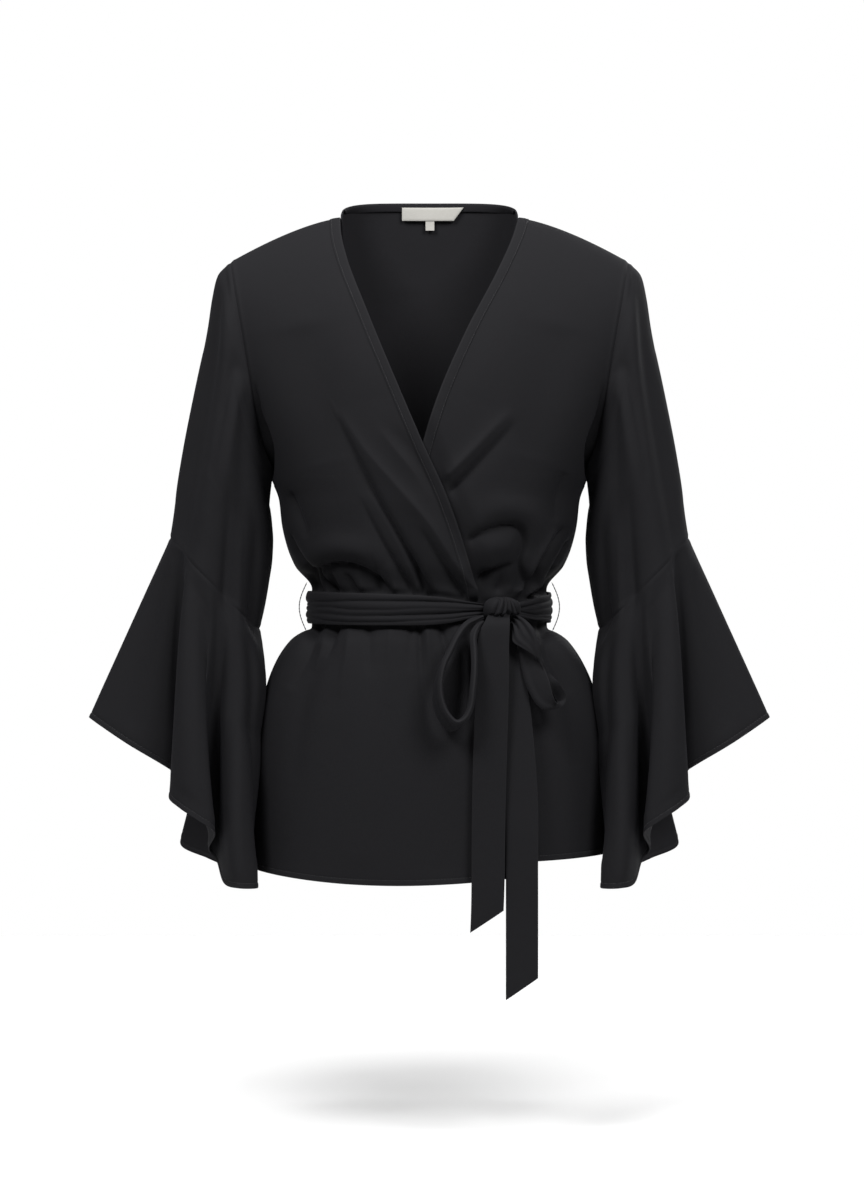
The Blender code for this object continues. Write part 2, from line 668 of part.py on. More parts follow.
def flounce_angles(count):
    """Angles that share the hem's length evenly, so that every flute keeps its shape."""
    angles = np.linspace(0, 360, 721)
    hem = flounce_hem(angles, RIGHT)
    length = np.concatenate([[0], np.cumsum(np.linalg.norm(np.diff(hem, axis=0), axis=1))])
    even = np.interp(np.arange(count) / count * length[-1], length, angles)
    return 0.75 * even + 0.25 * np.arange(count) * 360 / count


def flounce(side):
    """Wall of a flounce: straight lines from its seam to its fluted hem, as a cone has."""
    angles = flounce_angles(FLOUNCE_COLUMNS)
    if side == RIGHT:
        angles = angles[::-1]
    seam = sleeve_section(np.ones_like(angles), angles, side)
    down = np.linspace(0, 1, FLOUNCE_ROWS + 1)[:, None]
    points = seam + (flounce_hem(angles, side) - seam) * down[..., None]
    inner = np.maximum(-np.cos(np.radians(angles)), 0)
    points[..., 0] -= side * FLOUNCE_TUCK * inner * np.sin(math.pi * np.clip(down / 0.42, 0, 1))
    points[0] += seam_plane(side) * SEAM_GAP / 2
    return wall(points, closed=True, planes=[(np.s_[0, :], seam_plane(side))])


# ---------------------------------------------------------------- belt, knot and bow
def waist_point(angle, z, clear):
    """A point clear mm outside the waist, at an angle from the centre front."""
    turn = np.radians(angle)
    depth = np.where(np.cos(turn) >= 0, column(TORSO, 2, z), column(TORSO, 3, z)) + clear
    shape = 2 / ROUNDNESS
    x = (column(TORSO, 1, z) + clear) * np.sign(np.sin(turn)) * np.abs(np.sin(turn)) ** shape
    y = -depth * np.sign(np.cos(turn)) * np.abs(np.cos(turn)) ** shape
    return np.stack([x, y, z], -1)


def belt_band():
    """The belt round the waist, with its long creases, narrowing into the knot."""
    angles = np.linspace(BELT["knot_left"][0], BELT["knot_right"][0], BELT_COLUMNS)
    top, bottom = (column(BELT, k, angles) for k in (1, 2))
    rows = []
    for share, bulge in ((0, 0), (0.3, 1.6), (0.55, 0.3), (0.8, 1.5), (1, 0)):
        full = (top - bottom) / (BELT["left"][1] - BELT["left"][2])
        z = top + (bottom - top) * share
        rows.append(waist_point(angles, z, BELT_CLOTH + BELT_CLEAR + bulge * full))
    return wall(np.array(rows)[:, ::-1], thickness=BELT_CLOTH)


def knot():
    """The knot, a squared ball with the crossing turn of the belt over it."""
    rings, sides = 9, 18
    points = [(0, 0, 1)]
    for ring in range(1, rings):
        tilt = math.pi * ring / rings
        for k in range(sides):
            turn = 2 * math.pi * k / sides
            across = math.sin(tilt) * (1 + 0.05 * math.cos(3 * turn + 2.5 * math.cos(tilt)))
            points.append((across * math.cos(turn), across * math.sin(turn), math.cos(tilt)))
    points.append((0, 0, -1))
    points = np.array(points)
    points = np.sign(points) * np.abs(points) ** 0.88
    points *= (KNOT["half_width"], KNOT["half_depth"], KNOT["half_height"])
    cos, sin = math.cos(KNOT_TURN), math.sin(KNOT_TURN)
    turned = points @ np.array([[cos, sin, 0], [-sin, cos, 0], [0, 0, 1]])
    last = len(points) - 1
    faces = []
    for k in range(sides):
        n = (k + 1) % sides
        faces.append((0, 1 + k, 1 + n))
        for ring in range(rings - 2):
            a = 1 + ring * sides
            b = a + sides
            faces += [(a + k, b + k, b + n), (a + k, b + n, a + n)]
        faces.append((last, last - sides + n, last - sides + k))
    return turned + (KNOT["x"], KNOT["y"], KNOT["z"]), np.array(faces)


def ribbon(front_edge, back_edge):
    """Wall of a ribbon between two edges."""
    share = np.array([0, 0.5, 1])[:, None, None]
    middle = front_edge + (back_edge - front_edge) * share
    outer = middle + normals_of(middle, False) * BELT_CLOTH / 2
    return wall(outer, thickness=BELT_CLOTH)


def bow_loop(table):
    """One loop of the bow."""
    rows = stations(list(table.values()), RIBBON_STEPS)
    return ribbon(rows[:, 0:3], rows[:, 3:6])


def tail(table):
    """One hanging end of the belt, cut on a slant."""
    rows = stations(list(table.values()), RIBBON_STEPS)
    z, x, y, width = rows.T
    cut = ease((z - z[0]) / (z[-1] - z[0])) * TAIL_CUT
    left = np.stack([x - width / 2, y, z - cut], -1)
    right = np.stack([x + width / 2, y + 1.5, z + cut], -1)
    return ribbon(right, left)


# ---------------------------------------------------------------- label and thread loops
def inside_back(x, z, clear):
    """Points clear mm in front of the inner face of the back, below the neck."""
    depths = []
    lines = back_grid().transpose(1, 0, 2)
    for px, pz in zip(np.ravel(x), np.ravel(z)):
        across = [[np.interp(pz, line[::-1, 2], line[::-1, k]) for line in lines] for k in (0, 1)]
        depths.append(np.interp(px, across[0][::-1], across[1][::-1]))
    return np.stack([x, np.reshape(depths, np.shape(x)) - CLOTH * 1.15 - clear, z], -1)


def neck_label():
    """Blank woven label across the centre back, its right end folded on a slant."""
    rows = []
    for share in (0, 0.5, 1):
        right = LABEL["right"] + (LABEL["right_low"] - LABEL["right"]) * share
        x = np.linspace(LABEL["left"], right, 9)
        rows.append(inside_back(x, np.full(9, LABEL["z_top"] - LABEL["height"] * share), LABEL["clear"]))
    return wall(np.array(rows), thickness=LABEL["cloth"])


def size_tab():
    """Blank tab that hangs from under the label."""
    low = LABEL["z_top"] - LABEL["height"] - SEAM_GAP
    rows = []
    for share in (0, 1):
        x = SIZE_TAB["x"] + SIZE_TAB["width"] * np.linspace(-0.5, 0.5, 3)
        rows.append(inside_back(x, np.full(3, low - SIZE_TAB["height"] * share), LABEL["clear"]))
    return wall(np.array(rows), thickness=LABEL["cloth"])


def thread_loop(side):
    """Thread carrier at a side seam, bowed out round the belt."""
    steps, sides = 12, 6
    share = np.linspace(0, 1, steps + 1)
    z = THREAD_LOOP["top_z"] + (THREAD_LOOP["bottom_z"] - THREAD_LOOP["top_z"]) * share
    levels, half_widths = zip(*sorted(row[:2] for row in TORSO.values()))
    seam_x = np.interp([z[0], z[-1]], levels, half_widths) + THREAD_LOOP["clear"]
    x = seam_x[0] + (seam_x[1] - seam_x[0]) * share + THREAD_LOOP["reach"] * np.sin(np.pi * share)
    along = np.stack([np.gradient(x), np.gradient(z)], -1)
    along /= np.linalg.norm(along, axis=1, keepdims=True)
    turn = np.arange(sides) * 2 * math.pi / sides
    radius = THREAD_LOOP["diameter"] / 2
    rings = np.stack([
        x[:, None] - radius * np.cos(turn) * along[:, 1:],
        radius * np.sin(turn) + 0 * x[:, None],
        z[:, None] + radius * np.cos(turn) * along[:, :1],
    ], -1)
    rings[..., 0] *= side
    points = rings.reshape(-1, 3)
    faces = []
    for r in range(steps):
        for k in range(sides):
            n = (k + 1) % sides
            a, b = r * sides, (r + 1) * sides
            faces += [(a + k, a + n, b + n), (a + k, b + n, b + k)]
    for k in range(1, sides - 1):
        faces += [(0, k + 1, k), (steps * sides, steps * sides + k, steps * sides + k + 1)]
    return points, np.array(faces)


# ---------------------------------------------------------------- objects
CREPE = ((0.018, 0.018, 0.020, 1), 0.72)
LABEL_CLOTH = ((0.80, 0.78, 0.72, 1), 0.85)
THREAD = ((0.02, 0.02, 0.022, 1), 0.6)


def finish(name, look):
    """Material of one piece."""
    colour, roughness = look
    material = bpy.data.materials.new(name)
    material.use_nodes = True
    shader = material.node_tree.nodes["Principled BSDF"]
    shader.inputs["Base Color"].default_value = colour
    shader.inputs["Roughness"].default_value = roughness
    shader.inputs["Metallic"].default_value = 0
    return material


def add_piece(name, solid, look, parent):
    """One named object, its origin at the middle of its box, with its faces pointing out."""
    points, faces = solid
    points = points * MM
    a, b, c = (points[faces[:, k]] for k in range(3))
    if np.einsum("ij,ij->i", a, np.cross(b, c)).sum() < 0:
        faces = faces[:, ::-1]
    middle = (points.min(0) + points.max(0)) / 2
    mesh = bpy.data.meshes.new(name)
    mesh.from_pydata((points - middle).tolist(), [], faces.tolist())
    mesh.materials.append(finish(name, look))
    mesh.shade_smooth()
    mesh.set_sharp_from_angle(angle=math.radians(50))
    piece = bpy.data.objects.new(name, mesh)
    piece.location = middle
    piece.parent = parent
    bpy.context.scene.collection.objects.link(piece)
    return piece


def main():
    """Clears the scene and builds the jacket."""
    for old in list(bpy.data.objects):
        bpy.data.objects.remove(old)
    shoulders = bpy.data.objects.new("shoulders", None)
    bpy.context.scene.collection.objects.link(shoulders)
    pieces = {
        "back": (back(), CREPE),
        "front_upper": (front(LEFT), CREPE),
        "front_under": (front(RIGHT), CREPE),
        "edge_band_upper": (edge_band(LEFT), CREPE),
        "edge_band_under": (edge_band(RIGHT), CREPE),
        "back_neck_band": (back_neck_band(), CREPE),
        "sleeve_left": (sleeve(LEFT), CREPE),
        "sleeve_right": (sleeve(RIGHT), CREPE),
        "flounce_left": (flounce(LEFT), CREPE),
        "flounce_right": (flounce(RIGHT), CREPE),
        "belt_band": (belt_band(), CREPE),
        "belt_knot": (knot(), CREPE),
        "bow_loop_left": (bow_loop(LEFT_LOOP), CREPE),
        "bow_loop_right": (bow_loop(RIGHT_LOOP), CREPE),
        "belt_tail_left": (tail(LEFT_TAIL), CREPE),
        "belt_tail_right": (tail(RIGHT_TAIL), CREPE),
        "neck_label": (neck_label(), LABEL_CLOTH),
        "size_tab": (size_tab(), LABEL_CLOTH),
        "thread_loop_left": (thread_loop(LEFT), THREAD),
        "thread_loop_right": (thread_loop(RIGHT), THREAD),
    }
    for name, (solid, look) in pieces.items():
        add_piece(name, solid, look, shoulders)


main()
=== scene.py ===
"""Looks of the wrap-front kimono jacket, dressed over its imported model.

Every piece of cloth is recomputed on the form of its own solid at a finer pitch, as a thin closed
shell with its creases, its turned edges and its seams pressed in. Sizes are in millimetres until a
mesh is made. +Z is up, the front faces -Y, and left and right are as the jacket is looked at.
"""

from __future__ import annotations

import logging
import math
from abc import ABC, abstractmethod
from collections.abc import Callable
from dataclasses import dataclass, field
from enum import Enum, IntEnum
from functools import cached_property

import bpy
import numpy as np
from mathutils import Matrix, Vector

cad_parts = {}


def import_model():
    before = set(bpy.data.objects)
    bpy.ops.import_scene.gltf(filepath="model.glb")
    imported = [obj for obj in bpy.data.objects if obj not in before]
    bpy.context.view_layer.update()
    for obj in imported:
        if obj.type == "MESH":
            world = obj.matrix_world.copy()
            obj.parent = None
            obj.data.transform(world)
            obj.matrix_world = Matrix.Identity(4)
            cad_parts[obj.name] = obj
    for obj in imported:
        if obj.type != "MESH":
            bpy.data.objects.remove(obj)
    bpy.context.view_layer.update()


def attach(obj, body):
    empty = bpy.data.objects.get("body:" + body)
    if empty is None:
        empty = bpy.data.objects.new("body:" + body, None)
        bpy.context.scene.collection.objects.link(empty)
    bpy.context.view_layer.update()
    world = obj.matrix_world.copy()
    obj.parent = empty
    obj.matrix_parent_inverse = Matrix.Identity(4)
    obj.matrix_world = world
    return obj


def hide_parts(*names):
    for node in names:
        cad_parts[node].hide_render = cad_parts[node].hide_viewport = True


MM = 0.001
TINY = 1e-9
ROOT = "root"
# Thickness of a panel, in millimetres, and how deep a seam allowance lies under the cloth.
PANEL = 1.1
ALLOWANCE = 1.5
# Degrees in a hundredth of a turn.
PERCENT = 3.6
# How far a line of stitches stands off the cloth, and off the fold of a hem.
ON_CLOTH = 0.05
ON_HEM = 0.08
log = logging.getLogger("jacket")


class Face(IntEnum):
    """Which half of the body a panel covers."""

    FRONT = -1
    BACK = 1

    @property
    def column(self) -> int:
        """Column of its depth in the body's table."""
        return 2 if self == Face.FRONT else 3


class Side(IntEnum):
    """Side as the jacket is looked at from the front."""

    LEFT = -1
    RIGHT = 1


class Hold(Enum):
    HUNG = "hung"
    GATHERED = "gathered"
    STRETCHED = "stretched"
    FOLDED = "folded"


# ---------------------------------------------------------------- curves
def smooth_curve(knots, values, at) -> np.ndarray:
    """Reads a curve through knots that never swings past them.

    Args:
        knots: Places of the knots, rising or falling.
        values: The curve's value at each knot.
        at: Places to read it at.

    Returns:
        The values there, held constant beyond both ends.
    """
    knots, values = np.asarray(knots, float), np.asarray(values, float)
    if knots[0] > knots[-1]:
        knots, values = knots[::-1], values[::-1]
    steps = np.diff(knots)
    slopes = np.diff(values) / steps
    tangents = np.concatenate([slopes[:1], slopes[1:], slopes[-1:]])
    before, after = slopes[:-1], slopes[1:]
    same_way = before * after > 0
    both = np.where(same_way, before + after, 1)
    tangents[1:-1] = np.where(same_way, 2 * before * after / both, 0)
    at = np.clip(at, knots[0], knots[-1])
    i = np.clip(np.searchsorted(knots, at) - 1, 0, len(steps) - 1)
    t = (at - knots[i]) / steps[i]
    rise = t * t * (3 - 2 * t)
    start = t * (1 - t) ** 2 * steps[i] * tangents[i]
    end = t * t * (t - 1) * steps[i] * tangents[i + 1]
    return values[i] * (1 - rise) + values[i + 1] * rise + start + end


def rounded(rows, steps: int) -> np.ndarray:
    """Adds rows between the rows of a table, on a rounded curve through all of them.

    Args:
        rows: The table's rows of numbers.
        steps: How many parts each gap is divided into.

    Returns:
        The finer table.
    """
    rows = np.array(rows, float)
    found = []
    for i in range(len(rows) - 1):
        a, b, c, d = (rows[min(max(i + k, 0), len(rows) - 1)] for k in (-1, 0, 1, 2))
        for t in np.arange(steps) / steps:
            square, cube = 2 * a - 5 * b + 4 * c - d, 3 * b - a - 3 * c + d
            found.append(0.5 * (2 * b + (c - a) * t + square * t**2 + cube * t**3))
    return np.array([*found, rows[-1]])


def ease(t) -> np.ndarray:
    """0 below 0, 1 above 1 and smooth between."""
    t = np.clip(t, 0, 1)
    return t * t * (3 - 2 * t)


def bell(distance, reach) -> np.ndarray:
    """1 at no distance, falling softly to 0 past reach."""
    return np.exp(-((distance / reach) ** 2))


def sharp_bell(distance, crest: float, reach) -> np.ndarray:
    """About 1 at no distance, falling straight away from a crest of that small radius."""
    return np.exp(-np.sqrt(distance**2 + crest**2) / reach)


def squared(wave: np.ndarray, power: float) -> np.ndarray:
    """A sine or cosine with its sign kept and its size raised to a power, to square a circle."""
    return np.sign(wave) * np.abs(wave) ** power


def unit(vectors: np.ndarray) -> np.ndarray:
    """The vectors at a length of 1."""
    return vectors / np.maximum(np.linalg.norm(vectors, axis=-1, keepdims=True), TINY)


def run_lengths(grid: np.ndarray, axis: int) -> np.ndarray:
    """Length along a grid of points from its first row (axis 0) or column (axis 1)."""
    steps = np.linalg.norm(np.diff(grid, axis=axis), axis=-1)
    lengths = np.cumsum(steps, axis=axis)
    start = np.zeros_like(np.take(lengths, [0], axis=axis))
    return np.concatenate([start, lengths], axis=axis)


def wander(at, seed: int, pitch: float) -> np.ndarray:
    """Smooth uneven values from -1 to 1 along a line, the same on every run.

    Args:
        at: Places along the line.
        seed: Which of many such curves.
        pitch: Distance over which the value changes.

    Returns:
        The curve's values there.
    """
    count, start = 64, 17.0
    source = np.random.default_rng(seed).uniform(-1, 1, count)
    place = np.asarray(at, float) / pitch + start
    low = np.floor(place).astype(int)
    share = ease(place - low)
    return source[low % count] * (1 - share) + source[(low + 1) % count] * share


# ---------------------------------------------------------------- creases
@dataclass(frozen=True)
class Crease:
    """One soft ridge or trough, drawn on the cloth.

    path is its line, as two places on the cloth for each of its points, heights how far it lifts
    the cloth at its start, middle and end (below zero for a trough), and widths its half widths on
    the left and on the right of the line as it is followed. A crest above zero is the small radius
    of a crisp fold.
    """

    path: tuple[float, ...]
    heights: tuple[float, float, float]
    widths: tuple[float, float]
    crest: float = 0.0

    def lift(self, u: np.ndarray, v: np.ndarray, widen: float = 1.0) -> np.ndarray:
        """How far it lifts the cloth.

        Args:
            u: First direction's places on the cloth.
            v: Second direction's places on the cloth.
            widen: Factor on both widths.

        Returns:
            The lift at each place.
        """
        line = rounded(np.reshape(self.path, (-1, 2)), 8)
        start, step = line[:-1], np.diff(line, axis=0)
        off = np.stack([np.ravel(u), np.ravel(v)], -1)[:, None] - start
        t = np.clip((off * step).sum(-1) / (step**2).sum(1), 0, 1)
        gap = off - t[..., None] * step
        far = (gap**2).sum(-1)
        near, rows = far.argmin(1), np.arange(len(off))
        along = (near + t[rows, near]) / len(step)
        turn = step[near, 0] * gap[rows, near, 1] - step[near, 1] * gap[rows, near, 0]
        reach = np.where(turn > 0, *self.widths) * widen
        first, middle, last = self.heights
        height = first * (1 - along) * (1 - 2 * along) + 4 * middle * along * (1 - along)
        height = height + last * along * (2 * along - 1)
        far = far[rows, near]
        if self.crest:
            shape = np.exp(-(np.sqrt(far + self.crest**2) - self.crest) / (0.62 * reach))
        else:
            shape = np.exp(-far / reach**2)
        return (height * shape).reshape(np.shape(u))


def crease_table(*rows: tuple) -> tuple[Crease, ...]:
    """Creases from rows of path, heights, widths and, for a crisp one, crest."""
    return tuple(Crease(*row) for row in rows)


def total_lift(creases: tuple[Crease, ...], u, v, widen: float = 1.0) -> np.ndarray:
    """Lift of all the creases together."""
    return sum((crease.lift(u, v, widen) for crease in creases), np.zeros_like(u))


def lift_round(creases: tuple[Crease, ...], u: np.ndarray, v: np.ndarray) -> np.ndarray:
    """Lift of creases on a closed tube, whose u runs once round it in 100."""
    return sum(total_lift(creases, u + turn, v) for turn in (-100, 0, 100))


def pleats(places: tuple[tuple[float, ...], ...], top: float) -> tuple[Crease, ...]:
    """Short pleats that run out of the belt.

    Args:
        places: x at the belt, sideways drift, length (down is below zero), height, half width.
        top: Height of the belt's edge.

    Returns:
        A crease for each.
    """
    rows = []
    for x, drift, length, height, width in places:
        path = (x, top, x + 0.4 * drift, top + 0.5 * length, x + drift, top + length)
        rows.append((path, (height, 0.55 * height, 0.0), (width, 0.8 * width), 1.0))
    return crease_table(*rows)


# ---------------------------------------------------------------- nodes
def operator(operation: str, swapped: bool = False) -> Callable[["Socket", object], "Socket"]:
    """Makes the method of one arithmetic operator.

    Args:
        operation: The Math node's operation.
        swapped: Whether the other value comes first.

    Returns:
        The method.
    """

    def work(self: "Socket", other) -> "Socket":
        """Adds a Math node that works on this value and the other."""
        first, second = (other, self) if swapped else (self, other)
        return self.tree.node("ShaderNodeMath", {"operation": operation}, {0: first, 1: second})

    return work


class Socket:
    """A node's output that adds Math nodes when it is used in an expression."""

    def __init__(self, tree: "Tree", link: bpy.types.NodeSocket) -> None:
        """Wraps one output of a node of that tree."""
        self.tree = tree
        self.link = link

    least = operator("MINIMUM")
    __add__ = __radd__ = operator("ADD")
    __sub__ = operator("SUBTRACT")
    __rsub__ = operator("SUBTRACT", swapped=True)
    __mul__ = __rmul__ = operator("MULTIPLY")


class Tree:
    """A node tree that is built in code."""

    def __init__(self, tree: bpy.types.NodeTree) -> None:
        """Wraps that tree."""
        self.tree = tree

    def node(
        self, kind: str, settings: dict | None = None, inputs: dict | None = None,
        output: int | str = 0,
    ) -> Socket:
        """Adds a node.

        Args:
            kind: The node's type.
            settings: Its properties, set first.
            inputs: Value or Socket for each input, by name or number.
            output: Which output is wanted.

        Returns:
            That output.
        """
        made = self.tree.nodes.new(kind)
        for key, value in (settings or {}).items():
            setattr(made, key, value)
        for key, value in (inputs or {}).items():
            self.feed(made.inputs[key], value)
        return Socket(self, made.outputs[output])

    def feed(self, socket: bpy.types.NodeSocket, value) -> None:
        """Links a Socket to an input or sets its value. Colours of three parts are opaque."""
        if isinstance(value, Socket):
            self.tree.links.new(value.link, socket)
        elif socket.type == "RGBA" and len(value) == 3:
            socket.default_value = (*value, 1)
        else:
            socket.default_value = value


class Shader(Tree):
    """One material's node tree, with its Principled BSDF and output in place."""

    def __init__(self, name: str) -> None:
        """Starts a material of that name."""
        self.material = bpy.data.materials.new(name)
        self.material.use_nodes = True
        super().__init__(self.material.node_tree)
        self.surface = self.tree.nodes["Principled BSDF"]

    def set(self, **values) -> None:
        """Feeds the Principled BSDF's inputs, named with _ for a space."""
        for key, value in values.items():
            self.feed(self.surface.inputs[key.replace("_", " ")], value)

    def place(self) -> Socket:
        """Place on the object, in metres."""
        return self.node("ShaderNodeTexCoord", output="Object")

    def cloth(self) -> Socket:
        """Place on the cloth, across and down, in metres."""
        return self.node("ShaderNodeUVMap", {"uv_map": "cloth"})

    def mark(self, name: str) -> Socket:
        """A value from 0 to 1 that the mesh's points carry."""
        return self.node("ShaderNodeAttribute", {"attribute_name": name}, output="Fac")

    def mix(self, factor, first, second) -> Socket:
        """Mixes two colours."""
        return self.node(
            "ShaderNodeMix", {"data_type": "RGBA"}, {0: factor, 6: first, 7: second}, output=2
        )

    def noise(
        self, vector: Socket, scale: float, detail: float, roughness: float,
        stretch: tuple[float, float, float] | None = None,
    ) -> Socket:
        """Noise from 0 to 1, over a vector that may be scaled along its directions first."""
        if stretch:
            scaling = {0: vector, 1: stretch}
            vector = self.node("ShaderNodeVectorMath", {"operation": "MULTIPLY"}, scaling)
        return self.node(
            "ShaderNodeTexNoise", {"noise_dimensions": "3D"},
            {"Vector": vector, "Scale": scale, "Detail": detail, "Roughness": roughness},
        )

    def bump(self, height: Socket, distance: float, strength: float, below=None) -> Socket:
        """Bump of a height from 0 to 1 over a distance in metres, on top of another bump."""
        inputs = {"Height": height, "Distance": distance, "Strength": strength}
        if below is not None:
            inputs["Normal"] = below
        return self.node("ShaderNodeBump", {}, inputs)


@dataclass(frozen=True)
class Crepe:
    """Black crepe: a pebbled matt face of overtwisted thread, with a faint sheen."""

    name: str = "black_crepe"
    colour: tuple[float, float, float] = (0.0072, 0.0071, 0.0079)
    thread_colour: tuple[float, float, float] = (0.0129, 0.0127, 0.0141)
    worn_colour: tuple[float, float, float] = (0.020, 0.0197, 0.0212)
    # Lighter colour of the inner faces: painted light on the shaded inside of the jacket.
    inside_painted_light_colour: tuple[float, float, float] = (0.0172, 0.0169, 0.0188)
    roughness: float = 0.72
    grain: float = 0.00075
    weave: float = 0.00042

    def material(self) -> bpy.types.Material:
        """Builds the material."""
        shader = Shader(self.name)
        place, cloth = shader.place(), shader.cloth()
        worn, wrong = shader.mark("wear"), shader.mark("wrong_side")
        pebbles = shader.noise(cloth, 1 / self.grain, 3.0, 0.62, (1.0, 0.62, 1.0))
        warp = shader.noise(cloth, 1 / self.weave, 1.0, 0.4, (1.0, 0.05, 1.0))
        weft = shader.noise(cloth, 1 / self.weave, 1.0, 0.4, (0.06, 1.0, 1.0))
        soft = shader.noise(place, 26.0, 3.0, 0.55)
        broad = shader.noise(place, 6.0, 2.0, 0.5)
        lit = (pebbles * 0.55 + warp * 0.25 + broad * 0.2).least(1.0)
        colour = shader.mix(lit, self.colour, self.thread_colour)
        # Inner faces are mixed towards a lighter colour: painted light on the shaded inside.
        colour = shader.mix(wrong * 0.85, colour, self.inside_painted_light_colour)
        colour = shader.mix(worn * (0.35 + soft * 0.6), colour, self.worn_colour)
        rough = self.roughness + (broad - 0.5) * 0.12 + (pebbles - 0.5) * 0.10 - worn * 0.08
        surface = shader.bump(soft, 0.0016, 0.35)
        surface = shader.bump(warp * 0.5 + weft * 0.5, 0.00012, 0.6, surface)
        surface = shader.bump(pebbles, 0.00022, 0.75, surface)
        shader.set(
            Base_Color=colour, Roughness=rough, Normal=surface, Specular_IOR_Level=0.04,
            Sheen_Weight=0.01, Sheen_Roughness=0.4, Sheen_Tint=(0.85, 0.86, 1.0),
        )
        return shader.material


@dataclass(frozen=True)
class LabelWeave:
    """Cream woven label: dense satin with a fine weft across it."""

    name: str = "label_weave"
    colour: tuple[float, float, float] = (0.50, 0.49, 0.462)
    shade: tuple[float, float, float] = (0.37, 0.36, 0.328)
    pitch: float = 0.0004

    def material(self) -> bpy.types.Material:
        """Builds the material."""
        shader = Shader(self.name)
        cloth = shader.cloth()
        weft = shader.noise(cloth, 1 / self.pitch, 1.0, 0.4, (0.12, 1.0, 1.0))
        warp = shader.noise(cloth, 1 / self.pitch, 1.0, 0.4, (1.0, 0.2, 1.0))
        stain = shader.noise(cloth, 90.0, 3.0, 0.6)
        shade = (weft * 0.45 + stain * 0.35 + shader.mark("wear") * 0.3).least(1.0)
        colour = shader.mix(shade, self.colour, self.shade)
        surface = shader.bump(weft * 0.6 + warp * 0.4, 0.00012, 0.8)
        shader.set(
            Base_Color=colour, Roughness=0.72 + weft * 0.12, Normal=surface,
            Specular_IOR_Level=0.35, Sheen_Weight=0.15,
        )
        return shader.material


@dataclass(frozen=True)
class SewingThread:
    """Spun thread: a little glossier than the cloth, with the twist of its plies."""

    name: str
    colour: tuple[float, float, float]
    twist: float = 0.0006

    def material(self) -> bpy.types.Material:
        """Builds the material."""
        shader = Shader(self.name)
        ply = shader.noise(shader.place(), 1 / self.twist, 2.0, 0.5, (1.0, 1.0, 0.6))
        dark = tuple(0.6 * part for part in self.colour)
        colour = shader.mix(ply, dark, self.colour)
        shader.set(
            Base_Color=colour, Roughness=0.42 + ply * 0.2, Normal=shader.bump(ply, 0.0001, 0.7),
            Specular_IOR_Level=0.35, Sheen_Weight=0.1,
        )
        return shader.material


@dataclass(frozen=True)
class StudioWhite:
    """Seamless white paper."""

    name: str = "studio_white"
    colour: tuple[float, float, float] = (0.75, 0.75, 0.75)

    def material(self) -> bpy.types.Material:
        """Builds the material."""
        shader = Shader(self.name)
        fibre = shader.noise(shader.place(), 40.0, 2.0, 0.5)
        rough = 0.9 + fibre * 0.05
        shader.set(Base_Color=self.colour, Roughness=rough, Specular_IOR_Level=0.1)
        return shader.material


# ---------------------------------------------------------------- shells
def cell_corners(rows: int, columns: int) -> np.ndarray:
    """Row and column of the four corners of every cell, in the order that faces outwards."""
    r, c = (k.ravel() for k in np.meshgrid(np.arange(rows), np.arange(columns), indexing="ij"))
    return np.stack([np.stack([r, r + 1, r + 1, r], 1), np.stack([c, c, c + 1, c + 1], 1)], -1)


